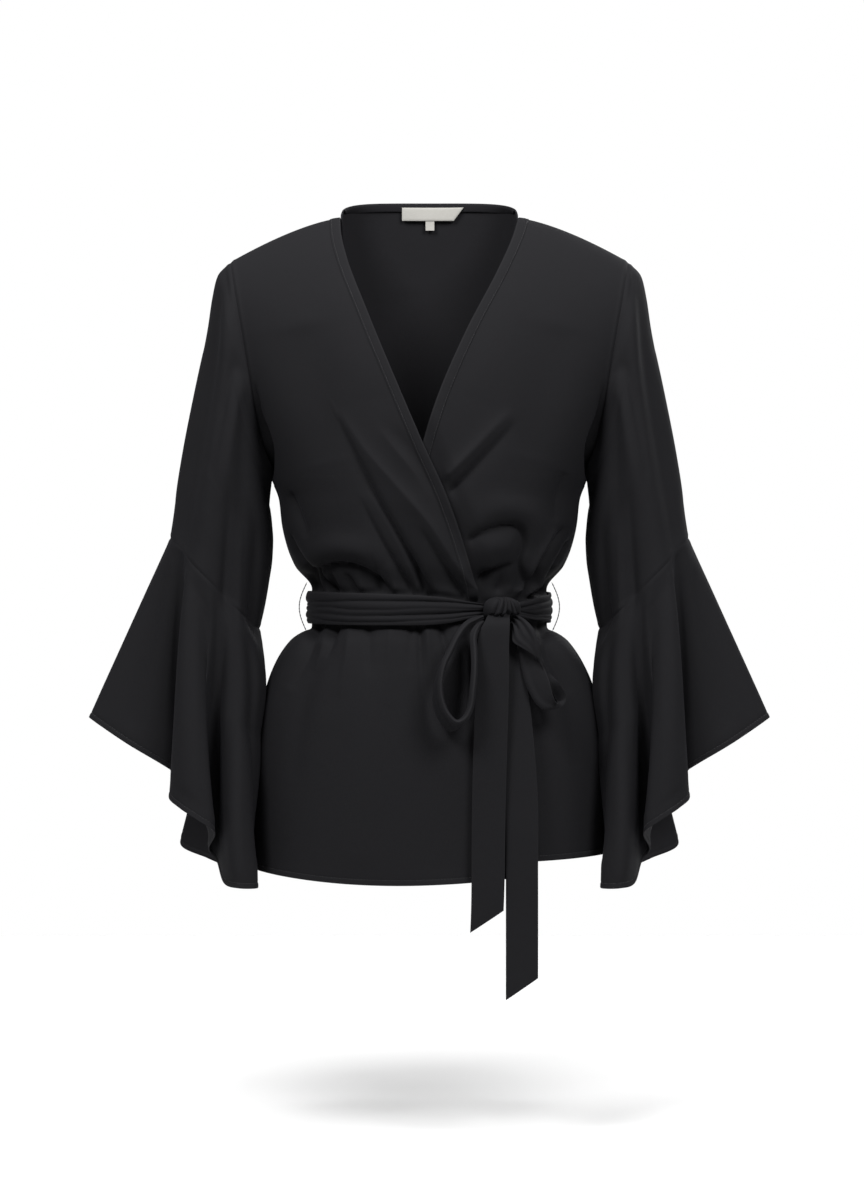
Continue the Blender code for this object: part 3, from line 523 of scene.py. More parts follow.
@dataclass
class Shell:
    """A grid of points and the thin closed wall that is made inside it.

    Columns run so that the outer side is on the left of a step down the rows. closed joins the last
    column to the first. wear is from 0 to 1 at each point.
    """

    points: np.ndarray
    closed: bool = False
    thickness: float = 1.0
    wear: np.ndarray | None = None

    def normals(self) -> np.ndarray:
        """Outward direction at each point."""
        grid = self.points
        if self.closed:
            grid = np.concatenate([grid[:, -1:], grid, grid[:, :1]], axis=1)
        across = np.gradient(grid, axis=1)
        if self.closed:
            across = across[:, 1:-1]
        crosses = np.cross(np.gradient(self.points, axis=0), across)
        return unit(crosses)

    def lifted(self, height: np.ndarray) -> "Shell":
        """The same shell with its points moved out by that height at each."""
        moved = self.points + self.normals() * height[..., None]
        return Shell(moved, self.closed, self.thickness, self.wear)

    def border_runs(self) -> tuple[np.ndarray, np.ndarray, np.ndarray, np.ndarray]:
        """Distance of each point from the first and last column and the first and last row."""
        across, down = run_lengths(self.points, 1), run_lengths(self.points, 0)
        return across, across[:, -1:] - across, down, down[-1:] - down

    def cloth_uv(self, corners: np.ndarray) -> np.ndarray:
        """Places on the cloth, in metres, of corners given by row and column."""
        across = run_lengths(np.concatenate([self.points, self.points[:, :1]], 1), 1).mean(0)
        down = run_lengths(self.points, 0).mean(1)
        return np.stack([across[corners[..., 1]], down[corners[..., 0]]], -1) * MM

    def solid(self) -> tuple[np.ndarray, list, np.ndarray, np.ndarray]:
        """Points, quads, and the cloth coordinates and wear of each quad's corners."""
        outer = self.points
        inner = outer - self.normals() * self.thickness
        rows, columns = outer.shape[:2]
        size = rows * columns
        corners = [cell_corners(rows - 1, columns if self.closed else columns - 1)]
        if self.closed:
            rims = [
                [(0, k) for k in range(columns + 1)],
                [(rows - 1, k) for k in range(columns, -1, -1)],
            ]
        else:
            rims = [
                [(0, k) for k in range(columns)] + [(k, columns - 1) for k in range(1, rows)]
                + [(rows - 1, k) for k in range(columns - 2, -1, -1)]
                + [(k, 0) for k in range(rows - 2, -1, -1)]
            ]
        rim = np.array([pair for line in rims for pair in zip(line, line[1:])])
        corners.append(corners[0][:, ::-1])
        corners.append(np.stack([rim[:, 0], rim[:, 1], rim[:, 1], rim[:, 0]], 1))
        flat = np.concatenate(corners)
        quads = flat[..., 0] * columns + flat[..., 1] % columns
        cells = len(corners[0])
        quads[cells: 2 * cells] += size
        quads[2 * cells:, 2:] += size
        wear = np.zeros((rows, columns)) if self.wear is None else self.wear
        marks = np.stack([np.tile(wear.ravel(), 2), np.repeat([0.0, 1.0], size)], -1)
        points = np.concatenate([outer.reshape(-1, 3), inner.reshape(-1, 3)])
        return points, quads.tolist(), self.cloth_uv(flat), marks


def linked(name: str, data: bpy.types.ID) -> bpy.types.Object:
    """Makes an object for that data and links it to the scene."""
    made = bpy.data.objects.new(name, data)
    bpy.context.scene.collection.objects.link(made)
    return made


def new_object(
    name: str, points: np.ndarray, faces: list, uv: np.ndarray | None = None,
    marks: np.ndarray | None = None, sharp: float | None = 62.0,
) -> bpy.types.Object:
    """Makes a mesh object at the origin with its place in its mesh.

    Args:
        name: The piece's name.
        points: Its points in millimetres.
        faces: Its faces.
        uv: Cloth coordinates of each face's corners, in metres.
        marks: How worn each point is and whether it is on the wrong side, from 0 to 1.
        sharp: Angle in degrees from which edges stay sharp, or None for none.

    Returns:
        The object, linked to the scene and shaded smooth.
    """
    mesh = bpy.data.meshes.new(name)
    mesh.from_pydata((points * MM).tolist(), [], faces)
    if uv is not None:
        layer = mesh.uv_layers.new(name="cloth")
        layer.data.foreach_set("uv", np.ravel(uv))
    if marks is not None:
        for key, values in zip(("wear", "wrong_side"), np.transpose(marks)):
            layer = mesh.attributes.new(key, "FLOAT", "POINT")
            layer.data.foreach_set("value", values.astype(np.float32))
    mesh.shade_smooth()
    if sharp is not None:
        mesh.set_sharp_from_angle(angle=math.radians(sharp))
    return linked(name, mesh)


def declare(made: bpy.types.Object, solid: str | None = None) -> bpy.types.Object:
    """Tells the frame what an object is.

    Args:
        made: The object.
        solid: Solid that it stands for, or None for sewing on the others.

    Returns:
        The object.
    """
    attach(made, ROOT)
    if solid:
        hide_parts(solid)
    log.info("%s: %d faces", made.name, len(made.data.polygons))
    return made


@dataclass(frozen=True)
class Cut:
    """The flat cut of a piece of cloth, in metres, and how it hangs."""

    width: float
    length: float
    area: float | None
    held: Hold
    rests_on: tuple[str, ...]


@dataclass
class ClothPiece(ABC):
    """A piece of cloth that stands for one solid of the same name."""

    name: str

    @abstractmethod
    def shell(self) -> Shell:
        """Works out the finished outer surface."""

    @cached_property
    def finished(self) -> Shell:
        """The finished outer surface, worked out once."""
        return self.shell()

    def make(self) -> bpy.types.Object:
        """Makes the piece's mesh."""
        return new_object(f"{self.name}_cloth", *self.finished.solid())

    def build(self, material: bpy.types.Material, slot: str = "crepe") -> bpy.types.Object:
        """Makes the piece, gives it its cloth and tells the frame what it is.

        Args:
            material: Its cloth.
            slot: Not used.

        Returns:
            The finished object.
        """
        made = self.make()
        made.data.materials.append(material)
        declare(made, self.name)
        return made


# ---------------------------------------------------------------- the body's form
@dataclass(frozen=True)
class BodyForm:
    """The hollow tube that the fronts and the back lie on, on a general figure."""

    roundness: float = 2.25
    neck_half: float = 84.5
    neck_back_depth: float = 56
    neck_back_rise: float = 21
    neck_square: float = 3.6
    neck_round: float = 2.6
    shoulder_half: float = 188.6
    shoulder_drop: float = 41.8
    shoulder_curve: float = 1.42
    armpit_half: float = 150.1
    armpit_z: float = -248
    armhole_front: float = 57
    armhole_back: float = 60
    hem_z: float = -622
    # z, half width, front depth, back depth
    torso: tuple[tuple[float, ...], ...] = (
        (-248, 150.1, 118, 96),
        (-268, 142.5, 118, 93),
        (-290, 140, 116, 89),
        (-310, 135.5, 113, 85),
        (-330, 127.5, 108, 82),
        (-352, 111.5, 101, 77),
        (-388, 111.5, 101, 78),
        (-402, 131, 105, 84),
        (-421, 144, 109, 91),
        (-445, 153.5, 113, 97),
        (-480, 162, 117, 103),
        (-525, 168, 120, 107),
        (-575, 171.5, 122, 109),
        (-622, 173.5, 123, 110),
    )

    def level(self, index: int, z) -> np.ndarray:
        """Half width (1), front depth (2) or back depth (3) at heights below the armpits."""
        return smooth_curve([row[0] for row in self.torso], [row[index] for row in self.torso], z)

    def neck_depth(self, x) -> np.ndarray:
        """How far back the back neckline lies at x."""
        inside = np.clip(1 - (np.abs(x) / self.neck_half) ** self.neck_round, 0, 1)
        return self.neck_back_depth * inside ** (1 / self.neck_round)

    def top_height(self, face: Face, x) -> np.ndarray:
        """Height of the shoulder seam, and of the neckline between the neck points."""
        along = (np.abs(x) - self.neck_half) / (self.shoulder_half - self.neck_half)
        seam = -self.shoulder_drop * np.clip(along, 0, 1) ** self.shoulder_curve
        if face == Face.FRONT:
            return seam
        inside = np.clip(1 - (np.abs(x) / self.neck_half) ** self.neck_square, 0, 1)
        return seam + self.neck_back_rise * inside ** (1 / self.neck_square)

    def edge_share(self, face: Face, h) -> np.ndarray:
        """How deep the armhole's edge lies, as a share of the body's depth there."""
        armhole = self.armhole_front if face == Face.FRONT else self.armhole_back
        h = np.minimum(h, 1)
        return 2 * armhole / self.torso[0][face.column] * np.sqrt((1 - h) / (2 - h))

    def full_turn(self, face: Face, h) -> np.ndarray:
        """Angle of the turn from the centre to the side."""
        return np.arccos(np.clip(self.edge_share(face, h) ** (self.roundness / 2), 0, 1))

    def turned_to(self, face: Face, t, h) -> np.ndarray:
        """Place across, from -1 to 1, for a share t of the turn from the centre to the side."""
        full = self.full_turn(face, h)
        return np.sin(t * full) / np.sin(full)

    def upper(self, face: Face, s, h) -> np.ndarray:
        """Points above the armpits."""
        depth = self.torso[0][face.column]
        top_x = s * self.shoulder_half
        x = s * (self.shoulder_half + (self.armpit_half - self.shoulder_half) * h)
        top_z = self.top_height(face, top_x)
        z = top_z + (self.armpit_z - top_z) * h
        swell = np.sqrt(np.clip(h * (2 - h), 0, 1))
        if face == Face.FRONT:
            seam_y, power = np.zeros_like(x), 1.3 - 0.3 * s**2
        else:
            seam_y = self.neck_depth(top_x)
            power = 1 + 1.2 * seam_y / self.neck_back_depth
        reach = seam_y + (depth - seam_y) * swell**power
        fall = 1 - (1 - self.edge_share(face, h) ** self.roundness) * np.abs(s) ** self.roundness
        y = face * reach * np.clip(fall, 0, 1) ** (1 / self.roundness)
        return np.stack([x, y, z], -1)

    def lower(self, face: Face, s, h, hem: tuple[float, float, float]) -> np.ndarray:
        """Points below the armpits."""
        height = self.armpit_z + (h - 1) * (self.hem_z - self.armpit_z)
        x = s * self.level(1, height)
        side = np.clip(1 - np.abs(s) ** self.roundness, 0, 1) ** (1 / self.roundness)
        y = face * self.level(face.column, height) * side
        left, centre, right = hem
        low = centre + (right - left) / 2 * s + ((left + right) / 2 - centre) * s**2
        starts, lasts = 1.45, 0.55
        drop = (low - self.hem_z) * ease((h - starts) / lasts)
        return np.stack([x, y, height + drop], -1)

    def at(self, face: Face, s, h, hem: tuple[float, float, float]) -> np.ndarray:
        """Points of the tube.

        Args:
            face: Its front or back half.
            s: Place across, from -1 at the left to 1 at the right.
            h: Height, from 0 at the shoulder by 1 at the armpits to 2 at the hem.
            hem: Heights of the hem at the left, the centre and the right.

        Returns:
            The points in millimetres.
        """
        upper = self.upper(face, s, np.minimum(h, 1))
        return np.where((h <= 1)[..., None], upper, self.lower(face, s, np.maximum(h, 1), hem))

    def rows(self, upper: int = 92, pitch: float = 2.2, hem_rows: int = 9) -> np.ndarray:
        """Heights of the rows, close together along the hem.

        Args:
            upper: Rows above the armpits.
            pitch: Distance between the rows below them, in millimetres.
            hem_rows: Rows in the last few millimetres.

        Returns:
            The heights from 0 to 2.
        """
        long = self.armpit_z - self.hem_z
        hem, least = 8.2, 0.004
        top = (1 - np.cos(np.pi * np.arange(upper + 1) / upper)) / 2
        low = 1 + np.arange(1, int(long / pitch)) * pitch / long
        near_hem = 2 - np.linspace(hem, 0, hem_rows) / long
        return np.concatenate([top, low[low < near_hem[0] - least], near_hem])

    def waist(self, angle, z, clear) -> np.ndarray:
        """Points clear of the waist at angles from the centre front, positive to the right."""
        turn = np.radians(angle)
        ahead = np.cos(turn) >= 0
        front, back = (self.level(face.column, z) for face in Face)
        depth = np.where(ahead, front, back) + clear
        shape = 2 / self.roundness
        x = (self.level(1, z) + clear) * squared(np.sin(turn), shape)
        y = -depth * squared(np.cos(turn), shape)
        return np.stack([x, y, z], -1)


FORM = BodyForm()


# The belt from the left of the knot round the back to its right: angle, top and bottom.
BELT_EDGES = (
    (23.9, -366, -377), (15, -363.5, -380), (7, -360.5, -383.5), (-4, -358, -385.5),
    (-30, -356, -385.5), (-90, -354, -384.5), (-135, -353.5, -386), (-180, -353.5, -387),
    (-225, -353.5, -386), (-270, -355.5, -384), (-292, -358.5, -382), (-308, -362.5, -380),
    (-322.6, -366, -377),
)
BELT_MIDDLE = -370
# About how far the cloth runs from the centre to the side.
HALF_GIRTH = 200
# Rounds of nearing in which a place on the form is found.
ROUNDS = 30


def belt_levels(angle: np.ndarray) -> tuple[np.ndarray, np.ndarray]:
    """Heights of the belt's top and bottom at angles round the waist."""
    knots, tops, bottoms = zip(*BELT_EDGES)
    return smooth_curve(knots, tops, angle), smooth_curve(knots, bottoms, angle)


def pressed_by_belt(lift: np.ndarray, x: np.ndarray, z: np.ndarray, face: Face) -> np.ndarray:
    """Flattens creases under the belt and pinches the cloth along both its edges.

    Args:
        lift: How far the cloth is lifted. Troughs run in under the belt, ridges stop short of it.
        x: Places across of the same points.
        z: Their heights.
        face: The half of the body they are on.

    Returns:
        The lift that the belt leaves.
    """
    waist = float(FORM.level(1, BELT_MIDDLE))
    turn = np.degrees(np.arcsin(np.clip(np.abs(x) / waist, 0, 1) ** (FORM.roundness / 2)))
    angle = np.sign(x) * turn if face == Face.FRONT else -180 - np.sign(x) * turn
    top, bottom = belt_levels(np.where(angle > 30, angle - 360, angle))
    clear, under, pinched, wide = 8, 6, 2.4, 3.4
    ridges = 1 - ease((top + clear - z) / clear) * ease((z - bottom + clear) / clear)
    troughs = 1 - ease((top - z) / under) * ease((z - bottom) / under)
    pinch = pinched * (bell(z - top - 0.5, wide) + bell(z - bottom + 0.5, wide))
    return np.maximum(lift, 0) * ridges + np.minimum(lift, 0) * troughs - pinch


def sewn_to(shell: Shell, edge: np.ndarray, under: np.ndarray, reach: float) -> Shell:
    """Draws a shell's first row to the edge it is sewn to and lays a seam allowance under that.

    Args:
        shell: The shell.
        edge: Points of the other piece's edge, in order.
        under: The same number of points a little way in from it, under the other piece.
        reach: Distance over which the cloth follows.

    Returns:
        The shell with its upper rows moved and one more row.
    """
    start, step = edge[:-1], np.diff(edge, axis=0)
    along = ((shell.points[0][:, None] - start) * step).sum(-1) / np.maximum((step**2).sum(1), TINY)
    along = np.clip(along, 0, 1)
    gap = ((shell.points[0][:, None] - start - along[..., None] * step) ** 2).sum(-1)
    rows, near = np.arange(len(gap)), gap.argmin(1)
    share = along[rows, near][:, None]
    joined, allowance = (
        line[near] * (1 - share) + line[near + 1] * share for line in (edge, under)
    )
    follow = 1 - ease(shell.border_runs()[2] / reach)
    shell.points = shell.points + (joined - shell.points[0]) * follow[..., None]
    shell.points = np.concatenate([allowance[None], shell.points])
    if shell.wear is not None:
        shell.wear = np.concatenate([0 * shell.wear[:1], shell.wear])
    return shell


def near_armpit(seam_z: np.ndarray) -> np.ndarray:
    """1 beside the lower front of the armhole, 0 above it and below the armpit."""
    top, deepening, foot, ending = -158, 56, -254, 10
    return ease((top - seam_z) / deepening) * ease((seam_z - foot) / ending)


def armhole_tuck(points: np.ndarray, run: np.ndarray, seam_z: np.ndarray) -> np.ndarray:
    """Pushes the cloth back along the lower armhole seam, the same on both sides of it.

    Args:
        points: Points of the cloth.
        run: Distance of each from the armhole seam.
        seam_z: Height of the seam beside each.

    Returns:
        The points moved back.
    """
    deep, reach = 6, 9
    moved = points.copy()
    moved[..., 1] += deep * near_armpit(seam_z) * bell(run, reach)
    return moved


def pressed_hem(run: np.ndarray, turned: float = 4.6) -> np.ndarray:
    """Lift of a narrow turned hem with its line of stitches.

    Args:
        run: Distance from the free edge.
        turned: Width of the hem.

    Returns:
        How far the cloth is lifted.
    """
    fold = 0.34 * ease((turned - run) / 0.9) * ease(run / 0.7 + 0.35)
    return fold - 0.26 * bell(run - turned - 0.5, 0.8)


def seam_groove(run: np.ndarray, depth: float = 0.75, reach: float = 1.9) -> np.ndarray:
    """Lift, below zero, of cloth that turns in to a seam."""
    return -depth * bell(run, reach) + 0.22 * bell(run - 3.4, 2.0)


# ---------------------------------------------------------------- fronts
UPPER_EDGE = (
    (0, -84.5), (-17, -83), (-41, -77.5), (-100, -55.5), (-170, -26.5), (-218, -6),
    (-271, 17.5), (-326, 36), (-371, 47), (-450, 62), (-622, 86),
)
UNDER_EDGE = (
    (0, 84.5), (-22, 78), (-58, 62.5), (-115, 33.5), (-177, 7), (-218, -6), (-271, -20),
    (-371, -47), (-622, -56),
)
# Main creases of the upper front, in x and z of the front view.
UPPER_CREASES = crease_table(
    ((-84, -198, -70, -225, -47, -270, -23, -312, 2, -358), (-1.0, -6.2, -9.6), (3.6, 14), 0.8),
    ((-80, -194, -58, -225, -26, -262, 0, -292, 23, -326, 42, -352), (0.8, 5.2, 6.4), (8, 20), 0.8),
    ((-8, -298, 8, -320, 22, -342, 33, -358), (-0.5, -5.5, -8.0), (3.4, 8), 0.8),
    ((-46, -206, -28, -228, -12, -248, 2, -272), (0.4, 2.6, 0.4), (7, 8), 1.0),
    ((-34, -206, -14, -232, 8, -272, 30, -320), (-0.6, -3.0, -1.4), (7, 8)),
    ((-64, -270, -44, -308, -17, -352), (-0.4, -4.0, -6.8), (4, 8), 0.8),
    ((-58, -262, -34, -300, -10, -350), (0.4, 3.2, 4.6), (6, 8), 1.0),
    (
        (-114, -341, -102, -334, -86, -330, -68, -333, -54, -340, -38, -352),
        (-4.0, -10.0, -5.0), (3.4, 9), 0.9,
    ),
    ((-118, -324, -90, -315, -62, -318, -44, -332), (1.0, 5.6, 1.2), (12, 9)),
    ((-131, -262, -125, -282, -114, -304), (-1.0, -7.0, -0.8), (8, 6), 1.4),
    ((-126, -318, -110, -336, -92, -356), (-2.0, -9.0, -10.0), (3.6, 4.4), 0.7),
    ((-118, -328, -104, -342, -96, -358), (0.8, 4.5, 5.0), (4, 4), 0.8),
    ((-132, -300, -124, -322, -106, -354), (-1.0, -7.0, -9.0), (3.6, 4), 0.7),
    ((-78, -341, -72, -348, -66, -359), (-3.0, -6.0, -8.0), (3, 4), 0.7),
    ((-92, -343, -88, -350, -84, -360), (-2.0, -5.0, -7.0), (3, 3.6), 0.7),
    ((-118, -108, -108, -160, -92, -236), (0.4, -4.2, -1.0), (24, 30)),
    ((-74, -60, -66, -120, -52, -178), (0.3, 2.1, 0.3), (20, 22)),
    # Long soft folds of the skirt.
    ((-110, -390, -136, -424, -150, -470, -158, -540), (3.5, 4.0, 0.8), (8, 9)),
    ((-96, -400, -116, -450, -128, -530), (-2.4, -3.2, -0.5), (10, 12)),
    ((-52, -420, -58, -500, -66, -590), (0.8, 2.6, 2.0), (24, 26)),
    ((0, -430, 6, -510, 10, -600), (-0.8, -2.6, -1.8), (24, 22)),
    ((44, -440, 54, -520, 62, -600), (0.6, 2.0, 1.2), (18, 16)),
)
# Main creases of the under front, in x and z of the front view.
UNDER_CREASES = crease_table(
    ((4, -262, 10, -255, 37, -228, 61, -203, 76, -190), (3.6, 4.0, 0.3), (8, 9), 0.9),
    ((9, -276, 17, -266, 41, -240, 65, -215, 80, -199), (-6.2, -4.8, -0.3), (3.6, 11), 0.8),
    (
        (36, -309, 54, -298, 75, -294, 86, -299, 89, -313, 84, -331, 93, -358),
        (-4.6, -7.0, -3.2), (3.6, 9), 0.9,
    ),
    ((40, -291, 66, -279, 94, -285, 106, -310), (1.0, 3.4, 1.0), (12, 10)),
    ((48, -318, 62, -313, 74, -318), (1.4, 2.8, 1.0), (10, 10)),
    ((42, -347, 61, -337, 79, -330), (-8.0, -8.0, -1.2), (3.6, 7), 0.8),
    ((126, -296, 107, -326, 88, -360), (-2.0, -12.0, -14.0), (4, 4.4), 0.7),
    ((117, -296, 101, -320, 83, -354), (0.8, 6.0, 7.0), (5, 5), 0.8),
    ((134, -306, 116, -334, 99, -360), (-2.5, -10.0, -13.0), (3.4, 4), 0.7),
    ((129, -314, 112, -337, 94, -358), (0.8, 5.5, 6.0), (4, 4), 0.8),
    ((138, -318, 125, -338, 108, -358), (-1.5, -7.0, -9.0), (3.2, 3.6), 0.7),
    ((127, -244, 121, -266, 117, -290), (-0.6, -4.6, -0.6), (8, 9), 1.4),
    ((118, -108, 108, -160, 94, -232), (0.4, -3.6, -1.0), (24, 28)),
    ((72, -66, 60, -122, 44, -180), (0.3, 1.8, 0.3), (20, 20)),
    # Long soft folds of the skirt.
    ((110, -390, 142, -438, 154, -486, 160, -560), (3.5, 4.4, 1.0), (9, 8)),
    ((98, -396, 124, -444, 138, -520), (-2.8, -4.0, -0.6), (9, 8)),
    ((112, -430, 122, -500, 126, -600), (0.8, 2.4, 1.4), (18, 20)),
)
# Heights at which the pleats run out of the belt, above it and below it.
BLOUSE_FOOT = -352
SKIRT_TOP = -388
# Pleats out of the belt: x at the belt, drift, length, height, half width.
UPPER_SKIRT_PLEATS = (
    (-106, -24, -58, -7.0, 8), (-97, -12, -40, 3.5, 5), (-88, -8, -28, -6.0, 5),
    (-73, -10, -64, 3.6, 9), (-56, 2, -46, -3.6, 7), (-36, -3, -74, 2.6, 10),
    (-17, -2, -40, -3.0, 6), (-9, 3, -70, -5.0, 5), (-2, 5, -52, 3.4, 5),
    (11, 8, -32, -5.2, 5), (24, 6, -60, 3.0, 7), (35, 8, -84, -2.8, 9),
)
UNDER_SKIRT_PLEATS = (
    (106, 26, -62, -7.0, 8), (95, 14, -36, -6.0, 5), (84, 15, -92, 4.0, 9), (72, 10, -48, -4.4, 6),
    (60, 8, -84, 2.8, 9), (50, 5, -40, -3.6, 6),
)
UPPER_BLOUSE_PLEATS = (
    (-92, -5, 26, -4.2, 4), (-62, -7, 22, 3.0, 5), (-46, -8, 34, -4.0, 5), (-32, -8, 30, 2.6, 5),
    (-6, -12, 34, -4.4, 5),
)
UNDER_BLOUSE_PLEATS = ((64, 4, 16, -3.4, 4), (74, 5, 26, 2.8, 5), (102, 5, 24, 3.2, 4))


@dataclass
class Front(ClothPiece):
    """A front: its wrap edge, the hem's heights and the creases of its half of the body."""

    side: Side = Side.LEFT
    edge: tuple[tuple[float, float], ...] = UPPER_EDGE
    hem: tuple[float, float, float] = (-612.5, -622.5, -600)
    creases: tuple[Crease, ...] = ()
    columns: int = 134
    band_columns: int = 7
    band_width: float = 10
    lap: float = 4.5
    armpit_fold: float = 24

    def across(self, columns: np.ndarray) -> tuple[np.ndarray, np.ndarray, np.ndarray]:
        """Where columns lie on the body.

        Args:
            columns: 0 at the side seam, 1 at the inner line of the turned edge, 2 at the free edge.

        Returns:
            Place across, height and distance from the side of every point, as grids.
        """
        rows = FORM.rows()
        knots, places = zip(*self.edge)
        edge_s, half = np.full(len(rows), 0.4 * self.side), np.full(len(rows), FORM.armpit_half)
        for _ in range(ROUNDS):
            at_edge = FORM.at(Face.FRONT, edge_s, rows, self.hem)
            far = np.abs(edge_s) > 1e-3
            half = np.where(far, at_edge[:, 0] / np.where(far, edge_s, 1), half)
            edge_s = 0.5 * edge_s + 0.5 * smooth_curve(knots, places, at_edge[:, 2]) / half
        full = FORM.full_turn(Face.FRONT, rows)
        band_s = edge_s + self.side * self.band_width / half
        band_t = np.arcsin(band_s * np.sin(full)) / full
        t = self.side + (band_t[:, None] - self.side) * np.minimum(columns, 1)
        s = FORM.turned_to(Face.FRONT, t, rows[:, None])
        s = s + (edge_s - band_s)[:, None] * np.maximum(columns - 1, 0)
        return s, np.repeat(rows[:, None], len(columns), 1), HALF_GIRTH * np.abs(self.side - t)

    def height(self, x: np.ndarray, z: np.ndarray) -> np.ndarray:
        """How far the creases lift the cloth at x and z of the front view."""
        return pressed_by_belt(total_lift(self.creases, x, z), x, z, Face.FRONT)

    def surface(self, columns: np.ndarray) -> Shell:
        """Outer surface of some columns, in the order from left to right."""
        s, h, from_side = self.across(columns)
        flat = FORM.at(Face.FRONT, s, h, self.hem)
        lift = self.height(flat[..., 0], flat[..., 2]) * ease((from_side - 2) / 15)
        if self.side == Side.RIGHT:
            flat, lift = flat[:, ::-1], lift[:, ::-1]
        return Shell(flat, thickness=PANEL).lifted(lift)

    def shell(self) -> Shell:
        """The whole front with its seams pressed in and its hem turned."""
        columns = np.concatenate([
            np.linspace(0, 1, self.columns) ** 0.85, 1 + np.linspace(0, 1, self.band_columns)[1:],
        ])
        panel = self.surface(columns)
        first, last, top, bottom = panel.border_runs()
        side_run = first if self.side == Side.LEFT else last
        seam = panel.points[:, [0 if self.side == Side.LEFT else -1], 2]
        panel.points = armhole_tuck(panel.points, side_run, seam)
        narrow, widening, widens_from, over = 9, 15, -182, 44
        reach = narrow + widening * ease((widens_from - seam) / over)
        pit = ease(side_run / 4) * ease((reach - side_run) / (0.6 * reach))
        panel = panel.lifted(-self.armpit_fold * near_armpit(seam) * pit)
        lift = seam_groove(side_run) + seam_groove(top, 0.6) + pressed_hem(bottom)
        panel.wear = 0.5 * bell(bottom, 1.6) + 0.25 * bell(side_run - 3.0, 2.0)
        return panel.lifted(lift)


@dataclass
class UnderFront(Front):
    """The front that lies underneath, pushed in where the upper front covers it."""

    upper: Front | None = None

    def height(self, x: np.ndarray, z: np.ndarray) -> np.ndarray:
        """Its own creases where it shows, and the troughs of the upper front where it doesn't."""
        beyond = x - smooth_curve(*zip(*self.upper.edge), z)
        shown = ease((beyond - 1) / 11)
        own = pressed_by_belt(total_lift(self.creases, x, z), x, z, Face.FRONT)
        pushed = np.minimum(total_lift(self.upper.creases, x, z, 1.4), 0) * 1.2
        return own * shown + pushed * (1 - shown) - self.lap * (1 - ease((beyond - 2) / 20))


@dataclass
class EdgeBand(ClothPiece):
    """The turned and stitched edge of a front, laid on its cloth."""

    front: Front
    cloth: float = 0.8
    across: int = 12
    stitched: float = 1.7

    def shell(self) -> Shell:
        """A flat strip with soft edges and the groove that its stitches pull in."""
        strip = self.front.surface(1 + np.linspace(0, 1, self.across))
        share = np.linspace(0, 1, self.across)
        if self.front.side == Side.RIGHT:
            share = share[::-1]
        run = share * self.front.band_width
        width = self.front.band_width
        lift = 0.28 + 0.62 * ease(run + 0.35) * ease((width + 0.4 - run) / 1.2)
        lift = lift - 0.30 * bell(run - self.stitched, 0.7)
        lift = lift[None] + 0.07 * wander(run_lengths(strip.points, 0), 5, 9.0)
        strip.thickness = self.cloth
        strip.wear = np.repeat(0.5 * bell(run - width, 1.3)[None], len(strip.points), 0)
        return strip.lifted(lift)


# ---------------------------------------------------------------- back
BACK_CREASES = crease_table(
    ((-96, -110, -90, -170, -74, -236), (0.3, -4.0, -1.2), (22, 26)),
    ((98, -106, 88, -170, 74, -228), (0.3, -4.0, -1.2), (26, 22)),
    ((-24, -60, -20, -130, -14, -200), (0.3, 1.8, 0.3), (30, 26)),
    ((34, -220, 30, -270, 26, -330), (0.6, 3.8, 4.6), (14, 12)),
    ((-48, -236, -42, -280, -34, -334), (0.6, 3.6, 4.8), (12, 14)),
    ((-98, -248, -84, -300, -70, -350), (-1.0, -7.0, -9.5), (4, 12), 0.9),
    ((-88, -244, -72, -296, -58, -348), (0.8, 4.4, 4.6), (7, 9), 1.0),
    ((-32, -262, -28, -308, -25, -350), (-0.8, -5.6, -9.0), (5, 12), 1.0),
    ((31, -268, 27, -310, 22, -350), (-0.8, -6.0, -8.8), (11, 5), 1.0),
    ((102, -236, 88, -298, 72, -350), (-1.0, -7.0, -9.6), (12, 4), 0.9),
    ((90, -240, 75, -296, 60, -348), (0.8, 4.2, 4.4), (9, 7), 1.0),
    ((-128, -256, -116, -304, -98, -350), (-1.0, -5.5, -7.0), (4, 8), 0.9),
    ((130, -262, 114, -310, 97, -350), (-1.0, -5.5, -7.2), (8, 4), 0.9),
    ((-132, -322, -120, -336, -104, -352), (-1.5, -5.4, -5.0), (4, 5), 0.8),
    ((134, -318, 118, -338, 102, -352), (-1.5, -5.4, -5.0), (5, 4), 0.8),
    ((-62, -388, -74, -440, -80, -530), (-8.0, -5.0, -0.4), (8, 12)),
    ((0, -388, 3, -450, -2, -560), (-7.0, -4.4, -0.4), (9, 13)),
    ((62, -388, 74, -440, 84, -540), (-8.0, -5.0, -0.4), (12, 8)),
    ((-30, -396, -36, -470, -42, -595), (2.4, 3.6, 2.0), (16, 16)),
    ((34, -396, 38, -480, 46, -595), (2.4, 3.6, 2.2), (16, 16)),
    ((-104, -396, -126, -450, -134, -560), (2.0, 3.6, 1.0), (12, 10)),
    ((106, -396, 126, -456, 136, -560), (2.0, 3.8, 1.0), (10, 12)),
)
BACK_BLOUSE_PLEATS = (
    (-94, -8, 34, 2.4, 5), (-80, -5, 22, -2.6, 4), (-56, -5, 40, 2.6, 6), (-42, -2, 18, -2.2, 4),
    (-12, -2, 30, 2.4, 6), (6, 1, 44, -2.4, 5), (14, 3, 22, 2.0, 5), (40, 4, 26, 2.2, 5),
    (52, 3, 36, -2.6, 5), (60, 6, 20, 2.0, 4), (92, 8, 32, 2.4, 5),
)
